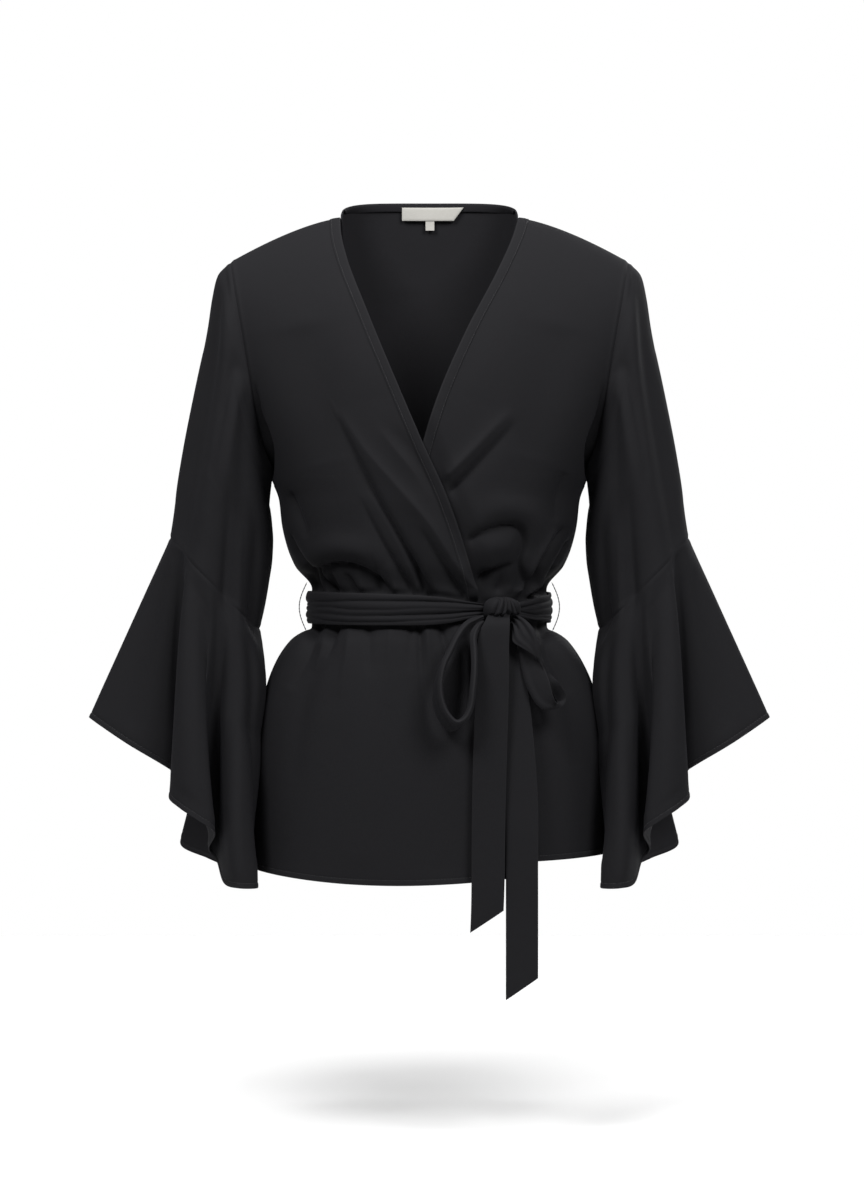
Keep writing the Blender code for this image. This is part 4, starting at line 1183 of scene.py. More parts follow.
BACK_SKIRT_PLEATS = (
    (-98, -16, -40, -3.6, 5), (-84, -12, -66, 2.4, 8), (-46, -4, -34, 2.0, 5),
    (-24, -2, -48, -2.6, 5), (-12, 0, -80, 2.2, 8), (18, 3, -40, 2.2, 6),
    (28, 3, -60, -2.6, 5), (46, 6, -30, 1.8, 5),
    (84, 12, -72, 2.4, 8), (98, 16, -44, -3.8, 5),
)


@dataclass
class Back(ClothPiece):
    """The back, in one piece from the neck to the hem."""

    hem: tuple[float, float, float] = (-612.5, -611, -599.5)
    creases: tuple[Crease, ...] = ()
    shoulder_columns: int = 26
    neck_columns: int = 62
    cloth: float = 1.44

    @cached_property
    def bare(self) -> Shell:
        """Outer surface with its creases, from the right to the left."""
        neck, wanted = 0.4, FORM.neck_half / FORM.shoulder_half
        for _ in range(ROUNDS):
            neck *= wanted / float(FORM.turned_to(Face.BACK, neck, 0.0))
        shoulder = np.linspace(1, neck, self.shoulder_columns + 1)[:-1]
        across = neck * np.cos(np.linspace(0, math.pi, self.neck_columns))
        t = np.concatenate([shoulder, across, -shoulder[::-1]])
        rows = FORM.rows()
        s = FORM.turned_to(Face.BACK, t[None], rows[:, None])
        flat = FORM.at(Face.BACK, s, np.repeat(rows[:, None], len(t), 1), self.hem)
        x, z = flat[..., 0], flat[..., 2]
        lift = pressed_by_belt(total_lift(self.creases, x, z), x, z, Face.BACK)
        lift = lift * ease((HALF_GIRTH * (1 - np.abs(t)) - 2) / 15)
        return Shell(flat, thickness=PANEL).lifted(lift)

    def shell(self) -> Shell:
        """The whole back with its seams pressed in and its hem turned."""
        panel = self.bare
        first, last, top, bottom = panel.border_runs()
        on_shoulder = ease((np.abs(panel.points[:1, :, 0]) - FORM.neck_half + 2) / 3)
        lift = seam_groove(first) + seam_groove(last) + seam_groove(top, 0.6) * on_shoulder
        panel.wear = 0.5 * bell(bottom, 1.6) + 0.3 * bell(top, 1.4) * (1 - on_shoulder)
        return panel.lifted(lift + pressed_hem(bottom))

    def inside(self, x: np.ndarray, z: np.ndarray, clear: float) -> np.ndarray:
        """Points clear of the back's inner face.

        Args:
            x: Places across.
            z: Heights.
            clear: Room between.

        Returns:
            The points.
        """
        lines = self.bare.points.transpose(1, 0, 2)[::-1]
        depths = []
        for px, pz in zip(np.ravel(x), np.ravel(z)):
            across = [
                [np.interp(pz, line[::-1, 2], line[::-1, k]) for line in lines] for k in (0, 1)
            ]
            depths.append(np.interp(px, *across))
        return np.stack([x, np.reshape(depths, np.shape(x)) - self.cloth - clear, z], -1)


@dataclass
class NeckBinding(ClothPiece):
    """Binding of the back neck, on its inside."""

    back: Back
    width: float = 7.6
    stitched: float = 1.6

    def runs(self) -> np.ndarray:
        """Distance of each row from the neckline."""
        return np.linspace(0.2, self.width, 9)

    def shell(self) -> Shell:
        """A narrow strip with soft edges under the neckline."""
        panel = self.back.bare
        neck = np.nonzero(np.abs(panel.points[0, :, 0]) < FORM.neck_half - 1.5)[0]
        top, normals = panel.points[0, neck], panel.normals()[0, neck]
        down = unit(panel.points[2, neck] - top)
        run = self.runs()
        rise = 0.15 + 0.6 * ease(run / 1.2) * ease((self.width + 0.2 - run) / 1.4)
        rise -= 0.25 * bell(run - self.width + self.stitched, 0.6)
        rows = [top - normals * (1.5 + high) + down * deep for deep, high in zip(run, rise)]
        strip = np.array(rows)[:, ::-1]
        wear = np.repeat(0.4 * bell(run - self.width, 1.2)[:, None], strip.shape[1], 1)
        return Shell(strip, thickness=-0.6, wear=wear)


# ---------------------------------------------------------------- sleeves
# From armhole to flounce seam: outer end (x, z), inner end (x, z), mid y, reach forward and back.
SLEEVE_SECTIONS = (
    (188.6, -41.8, 150.1, -248, 0, 57, 60),
    (201, -55, 151.8, -257, 0, 60, 62),
    (206, -76, 152.2, -266, -1, 61, 62.5),
    (210, -104, 150.8, -277, -3, 61, 62),
    (216, -138, 149.2, -291, -5, 61, 61),
    (223, -176, 148.0, -307, -8, 60, 59),
    (230.5, -216, 148.6, -324, -11, 57, 56),
    (237, -254, 151.4, -345, -15, 54, 53),
    (241.4, -283, 155.2, -368, -18, 52, 51),
    (244.4, -304, 160, -389.5, -21, 51, 50),
)
# Creases of a sleeve, in percent round it from the outer end by the front, and percent down it.
SLEEVE_CREASES = crease_table(
    ((25, 3, 22, 20, 20.4, 44, 19.6, 66), (-1.6, -5.0, -0.5), (3.4, 2.2), 0.5),
    ((27.5, 4, 25.6, 22, 24.4, 46, 23.6, 72), (0.4, 3.2, 0.5), (2.8, 3.2), 0.6),
    ((26, 62, 27.6, 80, 29.4, 99), (-0.5, -4.2, -5.2), (2.2, 3.0), 0.5),
    ((31, 66, 33, 84, 35, 99), (0.4, 2.8, 3.5), (2.6, 2.4), 0.6),
    ((37, 58, 39.6, 80, 42.4, 99), (-0.5, -4.0, -5.8), (1.8, 2.4), 0.5),
    ((9, 6, 11, 30, 12, 60, 12, 98), (-2.0, -5.0, -3.8), (4.2, 4.6)),
    ((19, 4, 21, 40, 21, 100), (1.2, 4.2, 3.2), (5.5, 5.0)),
    ((28, 20, 30, 55, 33, 97), (-0.8, -2.8, -4.0), (3.6, 4.2)),
    ((35, 52, 38, 78, 41, 99), (-0.5, -3.2, -4.5), (2.4, 2.6)),
    ((41.5, 1, 43.0, 14, 45.5, 30), (6.0, 5.6, 0.4), (4.6, 3.4)),
    ((24, 3, 25, 12, 27, 24), (0.8, 1.2, 0.0), (3.0, 3.4)),
    ((4, 40, 4, 62, 3, 84), (0.2, 2.2, 0.4), (3.4, 3.0)),
    ((83, 14, 83, 50, 84, 96), (-1.2, -6.0, -3.8), (5.6, 5.6)),
    ((71, 10, 72, 52, 71, 100), (1.0, 4.2, 3.2), (5.4, 5.4)),
    ((63, 30, 62, 64, 60, 98), (-0.6, -3.0, -3.8), (4.0, 3.6)),
    ((92, 30, 92, 60, 93, 92), (0.2, 2.0, 0.5), (3.6, 3.6)),
    ((56, 8, 55, 20, 53, 34), (-3.2, -2.8, -0.2), (3.6, 3.6)),
)


@dataclass
class Sleeve(ClothPiece):
    """A set-in sleeve from the armhole to the flounce's seam."""

    side: Side
    front: Front
    back: Back
    columns: int = 132
    rows: int = 104
    creases: tuple[Crease, ...] = SLEEVE_CREASES

    @staticmethod
    def section(down: np.ndarray, angle: np.ndarray, side: Side) -> np.ndarray:
        """Points of a plain sleeve.

        Args:
            down: Height down it, from 0 to 1.
            angle: Angle round it in degrees, from the outer end by the front.
            side: Which sleeve.

        Returns:
            The points.
        """
        keys = np.linspace(0, 1, len(SLEEVE_SECTIONS))
        table = np.array(SLEEVE_SECTIONS, float)
        ox, oz, ix, iz, mid_y, front, back = (
            smooth_curve(keys, column, down) for column in table.T
        )
        turn = np.radians(angle)
        share = (1 + np.cos(turn)) / 2
        reach = np.where(np.sin(turn) >= 0, front, back)
        x, z = ix + (ox - ix) * share, iz + (oz - iz) * share
        return np.stack([side * x, mid_y - reach * np.sin(turn), z], -1)

    @staticmethod
    def turned(angles: np.ndarray, side: Side) -> np.ndarray:
        """Angles in the order that makes the faces point outwards."""
        return angles if side == Side.LEFT else angles[::-1]

    def shell(self) -> Shell:
        """The sleeve with its creases and both seams pressed in."""
        angles = self.turned(np.arange(self.columns) * 360 / self.columns, self.side)
        down, angle = np.meshgrid(np.linspace(0, 1, self.rows), angles, indexing="ij")
        plain = Shell(self.section(down, angle, self.side), True, PANEL)
        u, v = angle / PERCENT, 100 * down
        lift = lift_round(self.creases, u, v) * ease(v / 5)
        _, _, top, bottom = plain.border_runs()
        front = np.sin(np.radians(angle)) > 0
        tucked = armhole_tuck(plain.points, top, plain.points[:1, :, 2])
        plain.points = np.where(front[..., None], tucked, plain.points)
        lift += seam_groove(top, 0.9, 2.2) + seam_groove(bottom, 0.5)
        lift += 0.22 * bell(top - 4, 4) * wander(angle, 11, 5.5)
        return sewn_to(plain.lifted(lift), self.armhole(0, 0), self.armhole(1, ALLOWANCE), 7.0)

    def armhole(self, inward: int, depth: float) -> np.ndarray:
        """Line along the body's armhole, from the shoulder by the front to the shoulder again.

        Args:
            inward: How many columns in from its edge.
            depth: How deep under the outer surface.

        Returns:
            The line's points.
        """
        above = FORM.rows() <= 1
        lines = []
        for piece, starting in ((self.front, Side.LEFT), (self.back, Side.RIGHT)):
            column = inward if self.side == starting else -1 - inward
            shell = piece.finished
            lines.append(shell.points[above, column] - depth * shell.normals()[above, column])
        return np.concatenate([lines[0], lines[1][::-1]])


# Soft folds of a flounce, in percent round it and percent down it.
FLOUNCE_CREASES = crease_table(
    ((11.6, 3, 12.4, 34, 13.2, 80), (-2.4, -6.2, -1.6), (3.4, 2.2)),
    ((17.4, 6, 18.2, 42, 19.6, 90), (1.6, 5.0, 1.6), (2.4, 2.8)),
    ((23.4, 12, 25.2, 52, 27.2, 90), (-1.6, -8.0, -3.0), (2.6, 2.2)),
    ((30.4, 12, 32.4, 56, 34.6, 94), (1.2, 5.0, 2.0), (2.6, 2.6)),
    ((37.6, 10, 39.6, 50, 41.8, 88), (-1.6, -6.0, -2.0), (2.2, 2.0)),
    ((44, 12, 45.4, 52, 47, 90), (0.8, 3.0, 0.8), (2.2, 2.2)),
    ((5.6, 14, 5.9, 52, 6.2, 90), (-0.6, -2.4, -0.6), (2.4, 2.4)),
    ((52, 10, 53, 50, 55, 88), (-1.4, -4.8, -1.2), (2.6, 2.4)),
    ((60, 8, 61, 46, 62, 84), (1.2, 4.0, 1.2), (2.6, 2.4)),
    ((69, 10, 68, 48, 68, 84), (-1.6, -6.0, -1.4), (2.4, 2.2)),
    ((77, 12, 78, 50, 79, 86), (-0.8, -4.0, -1.0), (2.6, 2.4)),
    ((89, 14, 90, 50, 92, 84), (-0.8, -3.4, -0.8), (2.6, 2.6)),
)
# Hem of the flounce, round from the outer corner by the front: angle, x, y, z.
FLOUNCE_HEM = (
    (0, 319.5, -30, -473.5), (20, 284, -49, -496), (36, 250, -56, -515.5), (46, 233, -46, -528),
    (53, 228, -56, -535), (60, 240.5, -84, -544), (67, 229, -103, -553.5), (78, 212, -109, -564),
    (89, 197, -100, -576.5), (98, 205, -63, -594), (106, 198, -59, -606), (115, 189.5, -88, -623.5),
    (126, 175, -108, -626.5), (142, 158, -95, -627.5), (160, 165, -60, -626), (182, 177, -26, -622),
    (206, 190, 14, -619), (221, 213, 35, -611), (236, 239.5, 50, -600), (248, 234, 60, -581),
    (261, 233, 66, -566), (276, 240, 69, -548), (293, 251, 62, -528), (312, 273, 47, -507),
    (331, 294, 31, -492), (348, 310, 0, -480),
)


@dataclass
class Flounce(ClothPiece):
    """A circular bell flounce, straight from its seam to its fluted hem as a cone is."""

    side: Side
    sleeve: Sleeve
    columns: int = 280
    rows: int = 76
    long: float = 270.0
    hem_width: float = 9.0
    tuck: float = 8.5

    @staticmethod
    def hem(angle: np.ndarray, side: Side) -> np.ndarray:
        """Points of the hem at angles round the seam."""
        rows = np.array(FLOUNCE_HEM, float)
        turn = np.array([360, 0, 0, 0])
        rows = rounded([*(rows[-2:] - turn), *rows, *(rows[:2] + turn)], 24)
        x, y, z = (np.interp(angle, rows[:, 0], rows[:, k]) for k in (1, 2, 3))
        return np.stack([side * x, y, z], -1)

    def angles(self) -> np.ndarray:
        """Angles that share the hem's length almost evenly."""
        fine = np.linspace(0, 360, 2881)
        length = run_lengths(self.hem(fine, Side.RIGHT)[None], 1)[0]
        share = np.arange(self.columns) / self.columns
        return 0.8 * np.interp(share * length[-1], length, fine) + 0.2 * share * 360

    def shell(self) -> Shell:
        """The flounce with its narrow hem."""
        angles = Sleeve.turned(self.angles(), self.side)
        seam = Sleeve.section(np.ones_like(angles), angles, self.side)
        down = np.concatenate([
            np.linspace(0, 1 - self.hem_width / self.long, self.rows),
            1 - np.linspace(8, 0, 9) / self.long,
        ])[:, None]
        points = seam + (self.hem(angles, self.side) - seam) * down[..., None]
        inner = np.maximum(-np.cos(np.radians(angles)), 0)
        closer = self.tuck * np.sin(math.pi * np.clip(down / 0.42, 0, 1))
        points[..., 0] -= self.side * inner * (closer + 4.5 * bell(down - 0.52, 0.17))
        plain = Shell(points, True, 1.0)
        _, _, top, bottom = plain.border_runs()
        ripple = wander(angles, 23, 7.0) * ease(down * 3) * ease((1 - down) * 6)
        u, v = np.broadcast_arrays(angles / PERCENT, 100 * down)
        lift = lift_round(FLOUNCE_CREASES, u, v) + seam_groove(top, 0.5) + pressed_hem(bottom)
        lift = lift + 0.5 * ripple
        plain.wear = 0.5 * bell(bottom, 1.6)
        sleeve = self.sleeve.finished
        under = sleeve.points[-3] - ALLOWANCE * sleeve.normals()[-3]
        edge, under = (np.concatenate([line, line[:1]]) for line in (sleeve.points[-1], under))
        return sewn_to(plain.lifted(lift), edge, under, 24.0)


# ---------------------------------------------------------------- belt and bow
@dataclass
class BeltBand(ClothPiece):
    """The belt round the waist: a pressed tube with long creases that run into the knot."""

    around: int = 360
    across: int = 52
    clear: float = 3.8
    cloth: float = 2.0
    # depth at the knot, depth behind, half width, and share across at each of the angles
    crease_angles: tuple[float, ...] = (23.9, 7, -30, -90, -180, -270, -300, -322.6)
    creases: tuple[tuple, ...] = (
        (4.6, 2.6, 0.055, (0.16, 0.20, 0.27, 0.34, 0.22, 0.20, 0.26, 0.44)),
        (4.8, 2.4, 0.060, (0.62, 0.66, 0.71, 0.60, 0.72, 0.74, 0.76, 0.55)),
        (1.0, 2.2, 0.045, (0.40, 0.44, 0.50, 0.48, 0.52, 0.46, 0.50, 0.50)),
        (2.0, 1.6, 0.040, (0.84, 0.86, 0.88, 0.82, 0.86, 0.88, 0.90, 0.74)),
    )

    def shell(self) -> Shell:
        """The band, narrower and folded more deeply near the knot."""
        first, last = BELT_EDGES[0][0], BELT_EDGES[-1][0]
        angles = np.linspace(first, last, self.around)
        top, bottom = belt_levels(angles)
        share = ((1 - np.cos(np.linspace(0, math.pi, self.across))) / 2)[:, None]
        z = top + (bottom - top) * share
        belt_width, least = 33, 0.62
        full = np.maximum((top - bottom) / belt_width, least)
        left_from, left_run, right_from, right_run = -46, 66, -272, 46
        near = np.maximum(
            ease((angles - left_from) / left_run), ease((right_from - angles) / right_run)
        )
        bulge = 2.6 * full * (1 - np.abs(2 * share - 1) ** 4)
        for place, (at_knot, behind, width, shares) in enumerate(self.creases):
            line = smooth_curve(self.crease_angles, shares, angles)
            line = line + 0.035 * wander(angles, 31 + place, 17.0)
            deep = (at_knot * near + behind * (1 - near)) * full
            bulge = bulge - deep * sharp_bell(share - line, 0.012, width * (1 + 0.5 * near))
        bulge = bulge + 0.35 * wander(angles, 41, 12.0) * np.sin(math.pi * share)
        points = FORM.waist(angles, z, self.clear + bulge)
        wear = np.repeat(0.5 * (bell(share, 0.05) + bell(1 - share, 0.05)), self.around, 1)
        return Shell(points[:, ::-1], thickness=self.cloth, wear=wear[:, ::-1])


@dataclass
class BeltKnot(ClothPiece):
    """The knot: a squared ball with the turn of the belt gathered over it."""

    centre: tuple[float, float, float] = (66, -98.6, -371.5)
    size: tuple[float, float, float] = (16.5, 9.0, 12.0)
    turn: float = math.radians(27)
    wrap: float = 7.5
    rings: int = 90
    columns: int = 150
    # place across, drift over the height, depth and half width of each pleat of the wrap
    pleats: tuple[tuple[float, ...], ...] = (
        (-0.70, 0.30, 0.20, 0.08), (-0.36, 0.24, 0.30, 0.07), (-0.05, 0.05, 0.34, 0.06),
        (0.26, -0.10, 0.30, 0.07), (0.60, -0.30, 0.26, 0.07),
    )

    def shell(self) -> Shell:
        """The ball with its gathers running over it from top to bottom."""
        tilt = np.linspace(0.02, math.pi - 0.02, self.rings)[:, None]
        round_ = np.arange(self.columns)[None] * 2 * math.pi / self.columns
        sphere = np.stack([
            np.sin(tilt) * np.cos(round_), np.sin(tilt) * np.sin(round_), np.cos(tilt) + 0 * round_,
        ], -1)
        ball = squared(sphere, 0.86)
        side, up = ball[..., 0], ball[..., 2]
        gather = 0.0
        for place, drift, deep, width in self.pleats:
            off = side - place - drift * up
            gather = gather - deep * sharp_bell(off, 0.02, width)
        front = ease(-ball[..., 1] * 1.6)
        ball = ball * (1 + gather * (0.35 + 0.65 * front) + 0.06)[..., None] * self.size
        hump = front * ease((up + 0.62) / 0.42) * (1 - 0.55 * side**2)
        ball[..., 1] -= self.wrap * hump * (1 + 1.6 * gather)
        ball[..., 2] += 2.2 * hump * bell(side - 0.05, 0.34)
        ball[..., 2] += 1.2 * hump * wander(side * 10, 61, 3.1)
        cos, sin = math.cos(self.turn), math.sin(self.turn)
        ball = ball @ np.array([[cos, sin, 0], [-sin, cos, 0], [0, 0, 1]])
        return Shell(ball + self.centre, True, 1.0)

    def make(self) -> bpy.types.Object:
        """Makes the knot as one closed ball."""
        ball = self.finished.points
        rows, columns = ball.shape[:2]
        points = np.concatenate([ball.reshape(-1, 3), ball[[0, -1]].mean(1)])
        corners = cell_corners(rows - 1, columns)
        faces = (corners[..., 0] * columns + corners[..., 1] % columns).tolist()
        ring = np.arange(columns)
        after, base = (ring + 1) % columns, (rows - 1) * columns
        top, bottom = (np.full(columns, rows * columns + k) for k in (0, 1))
        faces += np.stack([top, ring, after], 1).tolist()
        faces += np.stack([bottom, base + after, base + ring], 1).tolist()
        flat = points[[k for face in faces for k in face]]
        uv = np.stack([flat[:, 0] + flat[:, 1], flat[:, 2]], 1) * MM
        marks = np.zeros((len(points), 2))
        return new_object(f"{self.name}_cloth", points, faces, uv, marks, sharp=None)


@dataclass
class Ribbon(ClothPiece):
    """A stretch of the belt between two edges, as a pressed tube with soft edges.

    edges has a row for each station: the front edge (x, y, z) and the back edge (x, y, z). gathers
    are the heights of the pleats at the root and at the other end, and how many there are.
    """

    edges: tuple[tuple[float, ...], ...] = ()
    steps: int = 14
    around: int = 44
    thick: float = 1.9
    bead: float = 0.0
    hollow: tuple[float, float, float] = (0.5, 1.0, 0.0)
    gathers: tuple[float, float, float] = (1.2, 1.0, 3.0)
    gather_reach: float = 0.22

    def stations(self) -> tuple[np.ndarray, np.ndarray]:
        """Both edges at every row."""
        rows = rounded(self.edges, self.steps)
        return rows[:, 0:3], rows[:, 3:6]

    def shell(self) -> Shell:
        """A closed tube round the ribbon's middle surface."""
        front, back = self.stations()
        share = np.linspace(0, 1, len(front))[:, None]
        turn = np.arange(self.around)[None] * 2 * math.pi / self.around
        across, rise = squared(np.cos(turn), 0.8), squared(np.sin(turn), 0.55)
        middle, half = (front + back) / 2, (back - front) / 2
        along = np.gradient(middle, axis=0)
        normal = unit(np.cross(half, along))
        at_root, at_end, count = self.gathers
        fade = at_root * ease(1 - share / self.gather_reach)
        fade = fade + at_end * ease(1 - (1 - share) / self.gather_reach)
        wave = fade * np.cos(count * math.pi * (across + 0.13)) * (1 - across**4)
        run = (across + 1) * np.linalg.norm(half, axis=1, keepdims=True)
        rolled = self.bead * (bell(run - 3.0, 2.7) - 0.3 * bell(run - 7.4, 1.2))
        rolled = rolled * ease(share / 0.12) * ease((1 - share) / 0.12)
        height = rise * (self.thick / 2 * (1 + 0.25 * (1 - across**2)) + rolled) + wave
        height = height + 0.5 * wander(share * 100, 53, 16.0) * (1 - across**2)
        place, reach, depth = self.hollow
        height = height - depth * bell(share - place, reach) * (1 - across**2)
        points = middle[:, None] + half[:, None] * across[..., None]
        return Shell(points + normal[:, None] * height[..., None], True)

    def make(self) -> bpy.types.Object:
        """Makes the tube with both ends closed."""
        grid = self.finished.points
        first, last = (0.5 * (grid[k] + grid[k].mean(0)) for k in (0, -1))
        grid = np.concatenate([first[None], grid, last[None]])
        rows, columns = grid.shape[:2]
        corners = cell_corners(rows - 1, columns)[:, [0, 3, 2, 1]]
        faces = (corners[..., 0] * columns + corners[..., 1] % columns).tolist()
        size = rows * columns
        faces += [list(range(columns))[::-1], list(range(size - columns, size))]
        uv = Shell(grid, True).cloth_uv(corners).reshape(-1, 2)
        uv = np.concatenate([uv, np.zeros((2 * columns, 2))])
        edge = np.abs(np.cos(np.arange(columns) * 2 * math.pi / columns))
        wear = np.tile(0.5 * ease((edge - 0.93) / 0.07), rows)
        marks = np.stack([wear, 0 * wear], -1)
        return new_object(f"{self.name}_cloth", grid.reshape(-1, 3), faces, uv, marks)


@dataclass
class Tail(Ribbon):
    """A hanging end of the belt, cut on a slant. rows has z, centre x, y and width."""

    rows: tuple[tuple[float, ...], ...] = ()
    slant: float = 10

    def stations(self) -> tuple[np.ndarray, np.ndarray]:
        """Both edges at every row."""
        z, x, y, width = rounded(self.rows, self.steps).T
        cut = ease((z - z[0]) / (z[-1] - z[0])) * self.slant
        left = np.stack([x - width / 2, y, z - cut], -1)
        right = np.stack([x + width / 2, y + 1.5, z + cut], -1)
        return right, left


LEFT_LOOP_EDGES = (
    (50.0, -108, -377.0, 48.5, -101.5, -380.0),
    (43.5, -114.5, -379.6, 42.0, -105, -381.5),
    (34.5, -122, -384.5, 32.0, -108.5, -384.5),
    (26.7, -130, -394.4, 23.5, -111, -394.4),
    (19.2, -136, -409.4, 15.5, -114, -409.8),
    (13.7, -140, -421.4, 9.2, -116, -423.0),
    (10.8, -143, -437.7, 4.2, -119, -441.0),
    (12.3, -145, -452.9, 3.6, -121, -458.0),
    (17.3, -146, -464.7, 8.6, -123, -472.0),
    (25.1, -146, -471.9, 18.0, -125, -481.5),
    (32.7, -145, -468.7, 28.5, -125, -478.0),
    (37.9, -143, -459.1, 34.5, -124, -465.0),
    (40.2, -141, -444.0, 37.0, -122, -446.5),
    (41.8, -137, -426.0, 38.6, -119, -427.0),
    (41.9, -132, -410.7, 38.7, -116.5, -411.0),
    (41.1, -126, -396.0, 38.5, -112.5, -396.5),
    (44.8, -119, -386.3, 42.8, -108, -387.5),
    (50.0, -111, -381.5, 48.0, -102.5, -384.0),
)
RIGHT_LOOP_EDGES = (
    (79.4, -101, -375.5, 75.8, -100, -384.3),
    (87.9, -110, -380.3, 75.8, -108, -391.4),
    (94.9, -117, -388.0, 76.7, -114, -400.7),
    (98.8, -119, -397.8, 86.0, -118, -406.7),
    (101.1, -118, -408.2, 94.8, -119, -412.4),
    (103.5, -113, -417.5, 101.4, -118, -418.7),
    (109.0, -106, -428.1, 106.3, -117, -430.4),
    (117.6, -110, -437.3, 110.5, -118, -442.1),
    (123.1, -112, -445.8, 114.4, -119, -451.2),
    (125.0, -114, -452.9, 117.2, -121, -455.7),
    (121.1, -115, -459.4, 116.3, -123, -456.5),
    (111.8, -118, -462.7, 114.2, -123.5, -453.0),
    (102.7, -118, -461.7, 111.9, -123, -446.5),
    (94.9, -116, -453.3, 109.5, -121, -436.8),
    (88.3, -113, -439.7, 106.0, -117, -426.5),
    (84.7, -110, -426.7, 101.6, -112, -416.2),
    (82.8, -107, -415.0, 96.5, -107.5, -405.8),
    (80.9, -104, -403.2, 91.4, -104, -395.4),
    (79.4, -101, -391.5, 86.2, -101, -386.2),
    (77.1, -99, -382.3, 81.1, -99, -378.4),
)
LEFT_TAIL_ROWS = (
    (-370, 64.6, -104.0, 18),
    (-376, 63.6, -109.5, 20),
    (-382, 62.2, -113.6, 23),
    (-390, 60.0, -116.2, 27),
    (-404, 58.2, -118, 29.5),
    (-450, 57, -121.5, 31),
    (-540, 54.5, -125, 31),
    (-622, 53.5, -128, 30.5),
    (-655, 52.5, -128, 30.5),
)
RIGHT_TAIL_ROWS = (
    (-383.6, 66, -102, 20),
    (-404, 67.5, -104.5, 26),
    (-450, 76, -112, 30),
    (-540, 84, -119.5, 29.5),
    (-622, 84.5, -123.5, 29.5),
    (-717, 84.5, -123.5, 29.5),
)


# ---------------------------------------------------------------- label and thread
@dataclass
class NeckLabel(ClothPiece):
    """A blank woven label across the centre back, its right end folded on a slant."""

    back: Back
    z_top: float = 16.5
    height: float = 12.4
    left: float = -26.5
    right: float = 33.0
    right_low: float = 23.5
    width: float = 60.0
    clear: float = 2.9
    rows: int = 14
    columns: int = 48

    def shell(self) -> Shell:
        """The label with soft edges and a slight fullness between its sewn ends."""
        share = np.linspace(0, 1, self.rows)[:, None]
        right = self.right + (self.right_low - self.right) * share
        x = self.left + (right - self.left) * np.linspace(0, 1, self.columns)[None]
        z = np.repeat(self.z_top - self.height * share, self.columns, 1)
        points = self.back.inside(x, z, self.clear)
        first, last, top, bottom = Shell(points).border_runs()
        near = np.minimum(np.minimum(first, last), np.minimum(top, bottom))
        swell = np.sin(math.pi * (x - self.left) / self.width)
        points[..., 1] -= 0.35 * ease(near / 1.5) + 0.5 * swell * share
        return Shell(points, thickness=0.55, wear=0.8 * bell(near, 0.7))


@dataclass
class SizeTab(ClothPiece):
    """A blank tab that hangs from under the label."""

    label: NeckLabel
    width: float = 8.5
    height: float = 9.0
    centre: float = 0.5
    rows: int = 14
    columns: int = 12

    def shell(self) -> Shell:
        """The tab, curling forward a little at its free end."""
        label = self.label
        share = np.linspace(0, 1, self.rows)[:, None]
        across = np.linspace(-0.5, 0.5, self.columns)[None]
        x = np.repeat(self.centre + self.width * across, self.rows, 0)
        z = label.z_top - label.height - 0.1 - self.height * share
        z = np.repeat(z, self.columns, 1)
        points = label.back.inside(x, z, label.clear)
        points[..., 1] -= 0.5 * share**2
        first, last, _, bottom = Shell(points).border_runs()
        near = np.minimum(np.minimum(first, last), bottom)
        return Shell(points, thickness=0.5, wear=0.8 * bell(near, 0.6))


